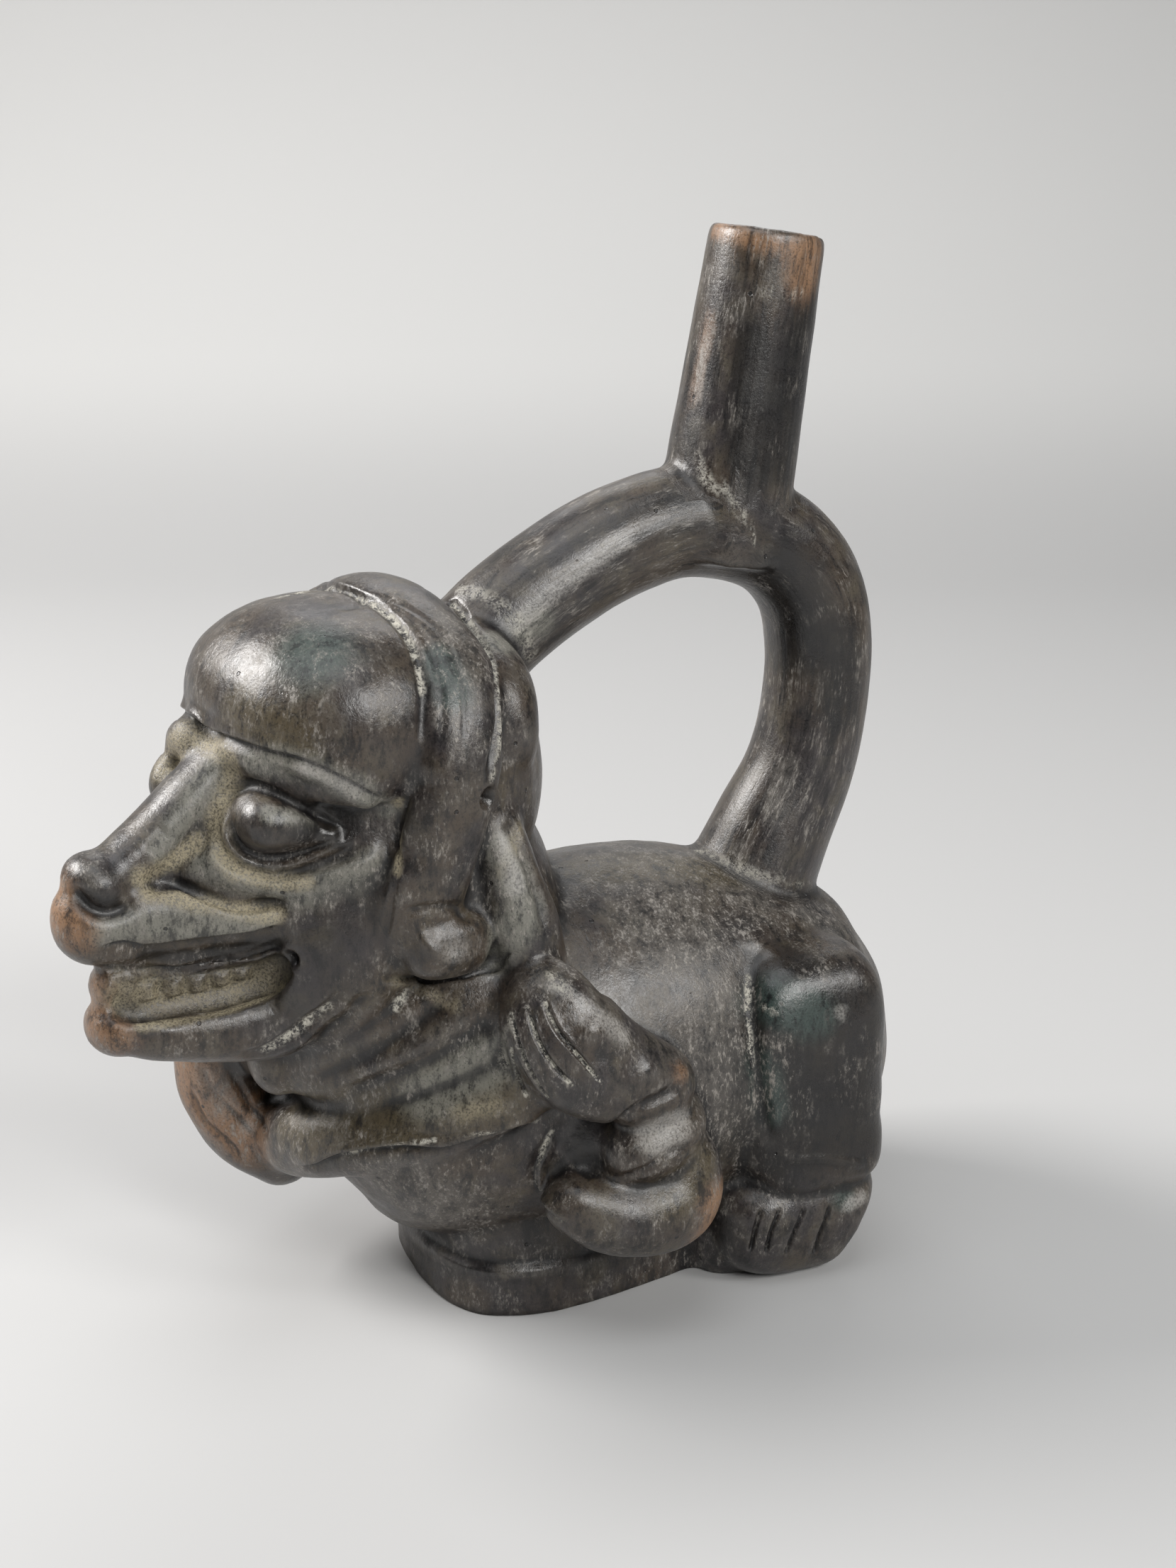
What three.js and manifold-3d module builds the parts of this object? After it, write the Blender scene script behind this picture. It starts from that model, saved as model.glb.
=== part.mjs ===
// Stirrup spout vessel: a crouching figure of fired blackware, hollow, with a stirrup handle and a spout.
// Millimetres, +Z up. The figure faces -Y and its left side is +X.
import * as THREE from 'three';
import { mergeVertices } from 'three/addons/utils/BufferGeometryUtils.js';
import Module from 'manifold-3d';

const wasm = await Module();
wasm.setup();

// Driving sizes
const WALL = 5; // body and head wall
const TUBE_WALL = 4; // wall of the stirrup tube
const FLOOR = 6; // thickness of the base under the hollow

const BASE_LENGTH = 98;
const BASE_FRONT_WIDTH = 73; // the base narrows from its front end
const BASE_REAR_WIDTH = 37; // to its rear end
const BASE_HEIGHT = 11;
const BASE_CENTRE_Y = -15;

const TUBE_RADIUS = 12.3;
const STIRRUP_TOP_Z = 169; // top of the tube's centre line
const HEAD_JOINT_Z = 128; // where the centre line starts in the head
const BACK_JOINT_Z = 76; // where it ends in the back
const BACK_FLARE = 3.7; // how much wider the tube grows at the back

const SPOUT_LENGTH = 64;
const SPOUT_TOP_RADIUS = 12.6;
const SPOUT_FOOT_RADIUS = 14.8;
const SPOUT_BORE_RADIUS = 9.2;
const SPOUT_LEAN = 9; // degrees, back from the upright
const SPOUT_FOOT_Y = 12;

const HEAD_TURN = 12; // degrees, to the figure's left

// The figure from lips to rump and from hand to far leg. Its forms are drawn at the second of each pair.
const FIGURE_LENGTH = 195;
const DRAWN_LENGTH = 195;
const FIGURE_WIDTH = 104;
const DRAWN_WIDTH = 104;

// Form makers: each returns a closed THREE.BufferGeometry
function onGeometry(geometry, move) {
  const place = geometry.attributes.position;
  const point = new THREE.Vector3();
  for (let i = 0; i < place.count; i += 1) {
    point.fromBufferAttribute(place, i);
    move(point);
    place.setXYZ(i, point.x, point.y, point.z);
  }
  return geometry;
}

const FINENESS = 0.53; // share of the full count of facets

function unitBall(sides, rings) {
  const geometry = new THREE.SphereGeometry(1, Math.round(sides * FINENESS), Math.round(rings * FINENESS));
  geometry.rotateX(Math.PI / 2);
  return geometry;
}

// Half the width at y, which runs from -1 at the front end to 1 at the rear end
const halfWidth = (front, rear, y) => front + ((rear - front) * (1 + y)) / 2;

// An ellipsoid, or a rounded block where square is over 2. Its half width may differ at its rear end.
function lump({ at, size, rear = size[0], turn = [0, 0, 0], square = 2, sides = 20, rings = 12 }) {
  const swing = new THREE.Euler(...turn.map(THREE.MathUtils.degToRad), 'ZYX');
  return onGeometry(unitBall(sides, rings), (p) => {
    const reach = Math.abs(p.x) ** square + Math.abs(p.y) ** square + Math.abs(p.z) ** square;
    p.multiplyScalar(reach ** (-1 / square));
    p.multiply(new THREE.Vector3(halfWidth(size[0], rear, p.y), size[1], size[2]));
    p.applyEuler(swing).add(new THREE.Vector3(...at));
  });
}

// Smooth blend of a list of stations, each a list of numbers, at t from 0 to 1
function along(stations, t) {
  const last = stations.length - 1;
  const spot = Math.min(Math.max(t, 0) * last, last - 1e-6);
  const i = Math.floor(spot);
  const f = spot - i;
  const at = (k) => stations[Math.min(Math.max(k, 0), last)];
  return stations[0].map((_, c) => {
    const [a, b, d, e] = [at(i - 1)[c], at(i)[c], at(i + 1)[c], at(i + 2)[c]];
    const curve = (2 * a - 5 * b + 4 * d - e) * f * f + (3 * b - a - 3 * d + e) * f ** 3;
    return 0.5 * (2 * b + (d - a) * f + curve);
  });
}

// A round-ended limb along stations of [x, y, z, half width, half thickness].
// Its thickness points away from heart.
function limb({ path, heart = [0, 0, -1000], square = 2, ends = 2, sides = 16, rings = 18 }) {
  const steps = 80;
  const spots = Array.from({ length: steps + 1 }, (_, k) => new THREE.Vector3(...along(path, k / steps)));
  const reach = [0];
  for (let k = 1; k <= steps; k += 1) reach.push(reach[k - 1] + spots[k].distanceTo(spots[k - 1]));
  const length = reach[steps];
  const capOf = (station) => (station[3] + station[4]) / 2;
  const first = Math.min(capOf(path[0]), length / 2);
  const final = Math.min(capOf(path[path.length - 1]), length / 2);
  const round = (gone, cap) => {
    const short = Math.max(0, 1 - gone / cap);
    return (1 - short ** ends) ** (1 / ends);
  };
  return onGeometry(unitBall(sides, rings), (p) => {
    const gone = ((1 - p.z) / 2) * length;
    let k = reach.findIndex((r) => r >= gone - 1e-9);
    k = Math.max(k < 0 ? steps : k, 1);
    const t = (k - 1 + (gone - reach[k - 1]) / (reach[k] - reach[k - 1])) / steps;
    const [x, y, z, wide, thick] = along(path, t);
    const before = new THREE.Vector3(...along(path, t - 0.01));
    const after = new THREE.Vector3(...along(path, t + 0.01));
    const run = after.sub(before).normalize();
    const out = new THREE.Vector3(x, y, z).sub(new THREE.Vector3(...heart));
    out.addScaledVector(run, -out.dot(run)).normalize();
    const side = new THREE.Vector3().crossVectors(run, out);
    const spread = Math.hypot(p.x, p.y);
    const cap = round(gone, first) * round(length - gone, final);
    const u = spread > 1e-9 ? p.x / spread : 0;
    const v = spread > 1e-9 ? p.y / spread : 0;
    const swell = spread > 1e-9 ? (Math.abs(u) ** square + Math.abs(v) ** square) ** (-1 / square) : 0;
    p.set(x, y, z);
    p.addScaledVector(side, u * swell * wide * cap);
    p.addScaledVector(out, v * swell * thick * cap);
  });
}

// Points beyond the plane through spot are brought back to it
function clipped(geometry, [spot, normal]) {
  const facing = new THREE.Vector3(...normal).normalize();
  const onPlane = new THREE.Vector3(...spot);
  return onGeometry(geometry, (p) => {
    const depth = Math.min(p.clone().sub(onPlane).dot(facing), 0);
    p.addScaledVector(facing, -depth);
  });
}

const longer = FIGURE_LENGTH / DRAWN_LENGTH;
const wider = FIGURE_WIDTH / DRAWN_WIDTH;
const fuller = Math.cbrt(longer * wider);
const HEAD_PIVOT_Y = -55 * longer;

// A form as drawn, brought to the figure's length and width
function fitted(form) {
  const spot = ([x, y, z]) => [x * wider, y * longer, z];
  const moved = { ...form, cut: form.cut && [spot(form.cut[0]), form.cut[1]] };
  if (form.rear) moved.rear = form.rear * wider;
  if (!form.path) return { ...moved, at: spot(form.at), size: spot(form.size) };
  const path = form.path.map(([x, y, z, w, h]) => [...spot([x, y, z]), w * fuller, h * fuller]);
  return { ...moved, path, heart: form.heart && spot(form.heart) };
}

function inHead(geometry) {
  geometry.translate(0, -HEAD_PIVOT_Y, 0);
  geometry.rotateZ(THREE.MathUtils.degToRad(HEAD_TURN));
  geometry.translate(0, HEAD_PIVOT_Y, 0);
  return geometry;
}

function mirrored(form) {
  if (form.path) {
    const [hx, hy, hz] = form.heart;
    return { ...form, path: form.path.map(([x, ...rest]) => [-x, ...rest]), heart: [-hx, hy, hz] };
  }
  const [tx, ty, tz] = form.turn ?? [0, 0, 0];
  return { ...form, at: [-form.at[0], form.at[1], form.at[2]], turn: [tx, -ty, -tz] };
}

function make(form) {
  const made = form.path ? limb(form) : lump(form);
  return form.cut ? clipped(made, form.cut) : made;
}

// A form drawn in by the wall, with the ends of a limb drawn in by tips
function inside(form, wall, tips) {
  if (!form.path) {
    const size = form.size.map((s) => s - wall);
    return { ...form, size, rear: form.rear ? form.rear - wall : size[0] };
  }
  const path = form.path.map(([x, y, z, w, h]) => [x, y, z, w - wall, h - wall]);
  const last = path.length - 1;
  for (const [end, next] of [[0, 1], [last, last - 1]]) {
    const tip = new THREE.Vector3(...path[end]);
    const way = new THREE.Vector3(...path[next]).sub(tip).setLength(tips);
    path[end] = [...tip.add(way), ...path[end].slice(3)];
  }
  return { ...form, path };
}

// The body
const torso = {
  path: [
    [0, -90, 49, 27, 22], [0, -76, 50, 33, 29], [0, -56, 49, 38, 37], [0, -18, 51, 42, 44],
    [0, 14, 47, 39, 41], [0, 35, 41, 36, 36], [0, 50, 37, 35, 33],
  ],
  ends: 2.6, sides: 32, rings: 24,
};
const skirt = { at: [0, -14.5, 20], size: [35.2, 48.6, 22], rear: 18, square: 3.1, sides: 28, rings: 12 };
const neck = {
  path: [[0, -48, 56, 32, 28], [0, -55, 84, 29, 26], [0, -62, 120, 27, 24]],
  heart: [0, -1000, 0],
};

// The stirrup's centre line: y and the share of its rise
const FRONT_LINE = [[-62, 0], [-44, 0.488], [-26, 0.78], [-11, 0.939], [4, 1]];
const BACK_LINE = [
  [23, 0.946], [34, 0.828], [37.5, 0.667], [36.5, 0.495], [33, 0.344], [26, 0.194], [18, 0],
];
const onRise = (foot) => ([y, share]) => [0, y * longer, foot + share * (STIRRUP_TOP_Z - foot)];
const stirrupLine = [...FRONT_LINE.map(onRise(HEAD_JOINT_Z)), ...BACK_LINE.map(onRise(BACK_JOINT_Z))];
const flare = (k) => BACK_FLARE * Math.max(0, 1 - (stirrupLine.length - 1 - k) / 2.5) ** 1.5;
const tube = (radius) => ({
  path: stirrupLine.map((p, k) => [...p, radius + flare(k), radius + flare(k)]),
  heart: [1000, 0, 130], sides: 18, rings: 40, ends: 6,
});

// A cup on the spout's leaning axis, seated on the stirrup's top
function spout(footRadius, topRadius, low, high) {
  const profile = [[0, low], [footRadius, low], [topRadius, high], [0, high]];
  const geometry = new THREE.LatheGeometry(profile.map(([r, h]) => new THREE.Vector2(r, h)), 24);
  geometry.rotateX(Math.PI / 2);
  geometry.rotateX(THREE.MathUtils.degToRad(-SPOUT_LEAN));
  geometry.translate(0, SPOUT_FOOT_Y * longer, STIRRUP_TOP_Z - 1);
  return geometry;
}

// Arms and hands
const BODY_HEART = [0, -25, 50];
const upperArm = {
  path: [[41, -48, 37, 5, 5], [44, -40, 32, 8, 7.5], [45.5, -30, 28.5, 9.5, 8.5], [45, -20, 29.5, 10.5, 9],
    [44, -17, 37, 8.5, 8], [42, -18, 46, 6.5, 6]],
  heart: BODY_HEART,
};
const cuff = { at: [44, -25, 46], size: [10, 13, 9], turn: [20, 0, 0] };
const sleeve = { at: [37.5, -35, 44], size: [6.5, 9, 10] };
const hand = {
  path: [[40, -45, 88, 7, 5], [43, -47, 78, 11.5, 8], [46, -41, 68, 12.5, 9], [46.5, -29, 61, 10, 8],
    [45, -17, 55, 7.5, 7]],
  heart: BODY_HEART, square: 2.3,
};
const farHand = {
  path: [[-16, -97, 74, 9, 9], [-18, -102, 55, 11, 10.5], [-19, -99, 40, 11.5, 10.5], [-19, -90, 29, 12, 9],
    [-18, -82, 23, 9, 8]],
  heart: [0, -40, 50],
};
const farArm = {
  path: [[-22, -92, 36, 9, 8], [-33, -78, 34, 9, 8], [-40, -58, 32, 9, 8], [-42, -32, 30, 9, 8]],
  heart: [0, -40, 50],
};
const fingerLines = [
  [[43, -56, 82], [48, -54, 76], [50, -51, 70]],
  [[44, -53, 84], [50, -50, 77], [52, -46, 71]],
  [[46, -49, 85], [51, -46, 79], [54, -40, 72]],
];

// The cloth over the shoulder
const strap = {
  path: [[41, -40, 69, 8, 5], [38, -56, 60, 8.5, 6], [28, -73, 50, 8.5, 7], [13, -86, 43, 8.5, 7],
    [-4, -91, 37, 8.5, 7], [-22, -89, 32, 8, 6], [-34, -82, 32, 8, 6]],
  heart: [0, -40, 50], rings: 24,
};
const scarf = {
  path: [[-12, -98, 60, 9, 6], [2, -94, 62, 10, 6], [14, -88, 64, 11, 6], [26, -76, 69, 12, 6],
    [33, -62, 73, 12, 6], [37, -46, 76, 10, 5]],
  heart: [0, -50, 70],
};

// Legs, feet and the cuts between the toes
const leg = { at: [24, 18.5, 49.5], size: [20.5, 18.5, 28.5], square: 3.8 };
const foot = {
  at: [26.5, 17.5, 14], size: [17, 21, 13.5], square: 3, turn: [0, 12, 0],
  cut: [[36, 35, 18], [-0.2, -0.85, 0.5]],
};
const heel = { at: [27, 21, 31], size: [17, 16, 10], square: 4 };
const farLeg = { ...mirrored(leg), at: [-24, 17, 49.5] };
const farFoot = { at: [-24, 12, 14], size: [15, 17, 16], square: 3.2, turn: [0, -12, 0] };
const toeCuts = [
  [[40.3, 2, 19], [40.5, 2, 11], [38.4, 2, 5]],
  [[43, 8, 18.5], [42.8, 8, 11], [40.6, 8, 5]],
  [[43.6, 14, 18.5], [43.3, 14, 11], [41.2, 14, 5]],
  [[43.6, 20, 18.5], [43.3, 20, 11], [41.2, 20, 5]],
];
const line = (width) => (points) => ({ path: points.map((p) => [...p, width, width]), sides: 9, rings: 7 });

// The head, in its own frame before it is turned
const skull = { at: [0, -66, 122], size: [34, 30, 36], sides: 24, rings: 14 };
const dome = {
  at: [0, -81.5, 138], size: [33.5, 28, 22.5], square: 2.25, sides: 26, rings: 16,
  cut: [[0, -111, 138], [0, 0.45, 0.89]],
};
const bandSide = [
  [27, -79, 90, 7, 5], [30, -79, 102, 8.5, 5], [33.5, -75, 118, 9, 5], [34.5, -71, 134, 8.5, 5],
  [28, -68, 148, 8.5, 4.5], [15, -68, 156, 8.5, 4.5],
];
const band = {
  path: [
    ...bandSide, [0, -69, 159, 8.5, 4.5], ...bandSide.toReversed().map(([x, ...rest]) => [-x, ...rest]),
  ],
  heart: [0, -72, 118], sides: 12, rings: 34,
};
const roll = { at: [0, -56, 135], size: [33, 13.5, 20], square: 2.2, sides: 22, rings: 12 };
const face = {
  path: [[0, -60, 102, 30, 33], [0, -80, 102, 30, 35], [0, -92, 104, 25.5, 33], [0, -101, 106, 19.5, 29.5],
    [0, -107, 106, 15, 24], [0, -115, 105, 11, 14], [0, -124, 105, 9, 10]],
  heart: [0, -90, -1000], square: 3, sides: 24, rings: 22,
};
const maxilla = {
  path: [[0, -80, 102, 22, 14], [0, -100, 101, 18, 11], [0, -115, 101, 14, 9.5], [0, -129, 102, 10, 9],
    [0, -145, 103, 7.5, 9]],
  heart: [0, -90, -1000], square: 2.4, rings: 20,
};
const mandible = {
  path: [[0, -64, 86, 24, 16], [0, -85, 81, 23, 13], [0, -103, 76.5, 17.5, 10.5], [0, -119, 77, 13, 7.5],
    [0, -135, 79, 8, 6]],
  heart: [0, -90, -1000], square: 2.4,
};
const gums = {
  path: [[0, -90, 91, 15, 8], [0, -112, 90, 10.5, 8], [0, -130, 90, 6.5, 8]],
  heart: [0, -90, -1000], square: 2.4,
};
const lowerLip = { at: [0, -131, 87.5], size: [7.5, 7, 6], sides: 14, rings: 9 };
const chin = { at: [0, -133, 79], size: [8, 6.5, 6.5], sides: 14, rings: 9 };
const nose = {
  path: [[0, -101, 133, 6.5, 6], [0, -113, 123.5, 7.5, 6.2], [0, -126, 114.2, 7, 6.2], [0, -138, 107, 6, 6]],
  heart: [0, -100, 0], square: 2.4,
};
const noseTip = { at: [0, -135.5, 110], size: [8.2, 6.5, 6.8], turn: [35, 0, 0], sides: 14, rings: 9 };
const tie = {
  path: [[28, -61, 120, 5.5, 4.5], [32, -59, 107, 6.5, 5.5], [34, -56, 94, 8, 6], [34, -51, 78, 7, 5]],
  heart: [0, -66, 90], sides: 14, rings: 14,
};
const ear = { at: [29.5, -74, 93], size: [8, 9.5, 6.8], square: 3, sides: 14, rings: 9 };
const nape = { at: [25, -63, 97], size: [7.5, 12, 19], sides: 14, rings: 9 };
const eyeball = { at: [14, -103, 121], size: [7, 9, 7], turn: [0, 0, -22], sides: 14, rings: 9 };
const brow = {
  path: [[23, -95, 128, 3.5, 3.5], [16, -102, 130.5, 3.5, 3.5], [9.5, -106, 133, 3.5, 3.5],
    [3, -107, 136, 3.5, 3.5]],
  heart: [0, -90, 130], sides: 12, rings: 10,
};
const farEyeball = { ...mirrored(eyeball), at: [-12.5, -108.5, 123], size: [7, 9, 8] };
const farBrow = {
  ...mirrored(brow),
  path: [[-23, -97, 129, 3.5, 4], [-16, -105, 131, 4, 4.5], [-9.5, -109.5, 133, 5, 4.5],
    [-3, -109, 136, 4.5, 3.5]],
};
const teeth = [[12.5, -108, 90], [11.5, -114, 90], [10, -120, 90]].map((at) => (
  { at, size: [2.4, 2, 3], sides: 9, rings: 7 }
));

function solid(geometry) {
  geometry.deleteAttribute('normal');
  geometry.deleteAttribute('uv');
  const merged = mergeVertices(geometry, 1e-4);
  const triVerts = new Uint32Array(merged.index.array);
  const keep = [];
  for (let i = 0; i < triVerts.length; i += 3) {
    const [a, b, c] = triVerts.slice(i, i + 3);
    if (a !== b && b !== c && c !== a) keep.push(a, b, c);
  }
  const mesh = new wasm.Mesh({
    numProp: 3,
    vertProperties: new Float32Array(merged.attributes.position.array),
    triVerts: new Uint32Array(keep),
  });
  mesh.merge();
  return new wasm.Manifold(mesh);
}

const joined = (list) => list.reduce((whole, next) => whole.add(next));

const bodyForms = [
  torso, skirt, neck, upperArm, cuff, sleeve, hand, farHand, farArm, strap, scarf, mirrored(scarf),
  leg, farLeg, foot, heel, farFoot,
];
const paired = [tie, ear, nape, ...teeth];
const headForms = [
  skull, dome, band, roll, face, maxilla, mandible, gums, lowerLip, chin, nose, noseTip,
  eyeball, farEyeball, brow, farBrow, ...paired, ...paired.map(mirrored),
];

const slab = onGeometry(new THREE.CylinderGeometry(1, 1, BASE_HEIGHT, 40).rotateX(Math.PI / 2), (p) => {
  const reach = (Math.abs(p.x) ** 3 + Math.abs(p.y) ** 3) ** (-1 / 3);
  const flat = Math.hypot(p.x, p.y) > 1e-6 ? reach : 0;
  const half = halfWidth(BASE_FRONT_WIDTH / 2, BASE_REAR_WIDTH / 2, p.y * flat);
  p.set(p.x * flat * half, BASE_CENTRE_Y + p.y * flat * BASE_LENGTH / 2, p.z + BASE_HEIGHT / 2);
});

const outer = joined([
  ...bodyForms.map((form) => solid(make(fitted(form)))),
  ...headForms.map((form) => solid(inHead(make(fitted(form))))),
  solid(make(tube(TUBE_RADIUS))),
  solid(spout(SPOUT_FOOT_RADIUS, SPOUT_TOP_RADIUS, -8, SPOUT_LENGTH)),
  solid(slab),
]);

const ground = new THREE.BoxGeometry(600, 600, 100).translate(0, 0, -50);
const lines = [...fingerLines.map(line(1)), ...toeCuts.map(line(0.8))];
const carved = joined([solid(ground), ...lines.map((form) => solid(make(fitted(form))))]);
const floorCut = new THREE.BoxGeometry(600, 600, 100).translate(0, 0, FLOOR - 50);
const hollow = joined([
  ...[torso, skirt, neck].map((form) => solid(make(inside(fitted(form), WALL, WALL)))),
  solid(inHead(make(inside(fitted(skull), WALL, WALL)))),
  solid(make(inside(tube(TUBE_RADIUS), TUBE_WALL, 0))),
  solid(spout(SPOUT_BORE_RADIUS, SPOUT_BORE_RADIUS, -2, SPOUT_LENGTH + 5)),
]).subtract(solid(floorCut));

const vesselSolid = outer.subtract(carved).subtract(hollow);

function geometryOf(body) {
  const { vertProperties, triVerts, numProp } = body.getMesh();
  const geometry = new THREE.BufferGeometry();
  geometry.setAttribute('position', new THREE.BufferAttribute(new Float32Array(vertProperties), numProp));
  geometry.setIndex(new THREE.BufferAttribute(new Uint32Array(triVerts), 1));
  geometry.computeVertexNormals();
  return geometry;
}

const clay = new THREE.MeshStandardMaterial({ color: 0x4a4341, roughness: 0.42, metalness: 0.0 });
const vessel = new THREE.Mesh(geometryOf(vesselSolid), clay);
vessel.name = 'vessel';

const group = new THREE.Group();
group.add(vessel);
export default group;
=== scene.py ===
# Stirrup spout vessel: a crouching figure of burnished blackware, seen as in the photograph.
# The clay is modelled in millimetres and scaled to metres when the piece is finished.
import math

import bmesh
import bpy
import numpy as np
from mathutils import Euler, Matrix, Vector
from mathutils.bvhtree import BVHTree
from mathutils.kdtree import KDTree


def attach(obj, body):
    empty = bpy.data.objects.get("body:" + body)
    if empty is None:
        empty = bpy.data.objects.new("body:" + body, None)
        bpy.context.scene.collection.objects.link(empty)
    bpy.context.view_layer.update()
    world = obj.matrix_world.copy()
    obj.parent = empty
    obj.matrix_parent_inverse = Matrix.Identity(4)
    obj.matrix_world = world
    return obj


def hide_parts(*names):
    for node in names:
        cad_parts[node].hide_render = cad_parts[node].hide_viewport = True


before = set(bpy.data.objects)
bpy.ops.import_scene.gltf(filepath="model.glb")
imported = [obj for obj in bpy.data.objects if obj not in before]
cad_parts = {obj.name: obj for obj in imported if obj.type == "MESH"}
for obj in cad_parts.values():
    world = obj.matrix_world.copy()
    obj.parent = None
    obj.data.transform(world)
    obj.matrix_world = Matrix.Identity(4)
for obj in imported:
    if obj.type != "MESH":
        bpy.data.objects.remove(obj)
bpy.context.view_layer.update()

MM = 0.001
PHOTO_WIDTH, PHOTO_HEIGHT = 1659, 2212

# The camera
LENS_PIXELS = 3069
CAMERA_AT = (424.84, -207.21, 254.77)
CAMERA_FACING = 64.0  # degrees, the way to the vessel seen from above
CAMERA_SWING = 2.25  # degrees to the left of the vessel's axis
CAMERA_PITCH = 17.155  # degrees down

# The stirrup and the spout
TUBE_RADIUS = 12.3
SPOUT_FOOT = (0, 12, 168)
SPOUT_LENGTH = 64
SPOUT_FOOT_RADIUS = 14.8
SPOUT_TOP_RADIUS = 12.6
SPOUT_BORE_RADIUS = 9.2
SPOUT_BORE_FLOOR = 26  # the hollow opens the bore below this height over the foot
SPOUT_LEAN = 9.0

# The base, which narrows from its front end to its rear end
BASE_CENTRE_Y, BASE_LENGTH, BASE_TOP = -15, 98, 11
BASE_FRONT_WIDTH, BASE_REAR_WIDTH = 73, 37

# The head is modelled facing -Y, then turned to the figure's left
HEAD_TURN = 12.0
HEAD_PIVOT = Vector((0, -55, 0))

WALL, TUBE_WALL, FLOOR = 5, 4, 6

FIRST_VOXEL, VOXEL, HOLLOW_VOXEL = 1.0, 0.8, 1.6
MOST_TRIANGLES, HOLLOW_TRIANGLES = 176000, 12000
UNDERSIDE = 0.3  # the clay is cut off flat just over the floor


def camera_axes():
    facing = math.radians(CAMERA_FACING)
    ahead = Vector((-math.sin(facing), math.cos(facing), 0))
    ahead.rotate(Euler((0, 0, math.radians(CAMERA_SWING))))
    pitch = math.radians(CAMERA_PITCH)
    right = Vector((ahead.y, -ahead.x, 0))
    forward = ahead * math.cos(pitch) + Vector((0, 0, -math.sin(pitch)))
    return right, right.cross(forward), forward


def make_camera():
    right, up, forward = camera_axes()
    data = bpy.data.cameras.new("photo_view")
    data.sensor_fit = "AUTO"
    data.sensor_width = 36.0
    data.lens = 36.0 * LENS_PIXELS / PHOTO_HEIGHT
    data.clip_start, data.clip_end = 0.01, 20.0
    camera = bpy.data.objects.new("photo_view", data)
    turn = Matrix((right, up, -forward)).transposed().to_4x4()
    camera.matrix_world = Matrix.Translation(Vector(CAMERA_AT) * MM) @ turn
    bpy.context.scene.camera = put(camera)


# Form makers

def add_ball(clay, shape, sides=48, rings=32):
    """Adds a unit ball to the clay, with its points moved by shape."""
    ball = bmesh.new()
    bmesh.ops.create_uvsphere(ball, u_segments=sides, v_segments=rings, radius=1.0)
    mesh = bpy.data.meshes.new("ball")
    ball.to_mesh(mesh)
    ball.free()
    write_points(mesh, shape(read_points(mesh)))
    clay.from_mesh(mesh)
    bpy.data.meshes.remove(mesh)


def fetch(items, name, width=3, kind=float):
    """What every item holds under a name, one row of numbers for each."""
    flat = np.empty(len(items) * width, kind)
    items.foreach_get(name, flat)
    return flat.reshape(-1, width) if width > 1 else flat


def read_points(mesh):
    return fetch(mesh.vertices, "co")


def write_points(mesh, points):
    mesh.vertices.foreach_set("co", np.ascontiguousarray(points).ravel())
    mesh.update()


def in_head(points, back=False):
    """Turns points with the head, or back to where it faces straight ahead."""
    turn = np.array(Euler((0, 0, math.radians(-HEAD_TURN if back else HEAD_TURN))).to_matrix())
    pivot = np.array(HEAD_PIVOT)
    return (points - pivot) @ turn.T + pivot


def as_is(points):
    return points


def mirrored(form):
    """The same form on the other side of its own middle plane."""
    other = dict(form)
    if "path" in form:
        other["path"] = [(-x, *rest) for x, *rest in form["path"]]
        hx, hy, hz = form.get("heart", (0, 0, -1000))
        other["heart"] = (-hx, hy, hz)
    else:
        x, y, z = form["at"]
        tx, ty, tz = form.get("turn", (0, 0, 0))
        other.update(at=(-x, y, z), turn=(tx, -ty, -tz))
    return other


def half_width(front, rear, y):
    """Half the width at y, which runs from -1 at the front end to 1 at the rear end."""
    return front + (rear - front) * (1 + y) / 2


def lump(clay, at, size, rear=None, turn=(0, 0, 0), square=2.0, place=as_is, sides=48, rings=32):
    """An ellipsoid, or a rounded block where square is over 2. It may narrow to its rear end."""
    swing = np.array(Euler([math.radians(a) for a in turn]).to_matrix())

    def shape(points):
        reach = (np.abs(points) ** square).sum(axis=1, keepdims=True)
        points = points * reach ** (-1 / square)
        wide = half_width(size[0], size[0] if rear is None else rear, points[:, 1])
        points = points * np.stack([wide, np.full(len(wide), size[1]), np.full(len(wide), size[2])], axis=1)
        return place(points @ swing.T + np.array(at))

    add_ball(clay, shape, sides, rings)


def along(stations, t):
    """Smooth blend of the stations at each t from 0 to 1."""
    last = len(stations) - 1
    spot = np.clip(t, 0, 1) * last
    spot = np.minimum(spot, last - 1e-6)
    i = spot.astype(int)
    f = (spot - i)[:, None]
    a, b, d, e = (stations[np.clip(i + k, 0, last)] for k in (-1, 0, 1, 2))
    curve = (2 * a - 5 * b + 4 * d - e) * f ** 2 + (3 * b - a - 3 * d + e) * f ** 3
    return 0.5 * (2 * b + (d - a) * f + curve)


def unit(vectors):
    return vectors / np.maximum(np.linalg.norm(vectors, axis=1, keepdims=True), 1e-9)


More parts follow.
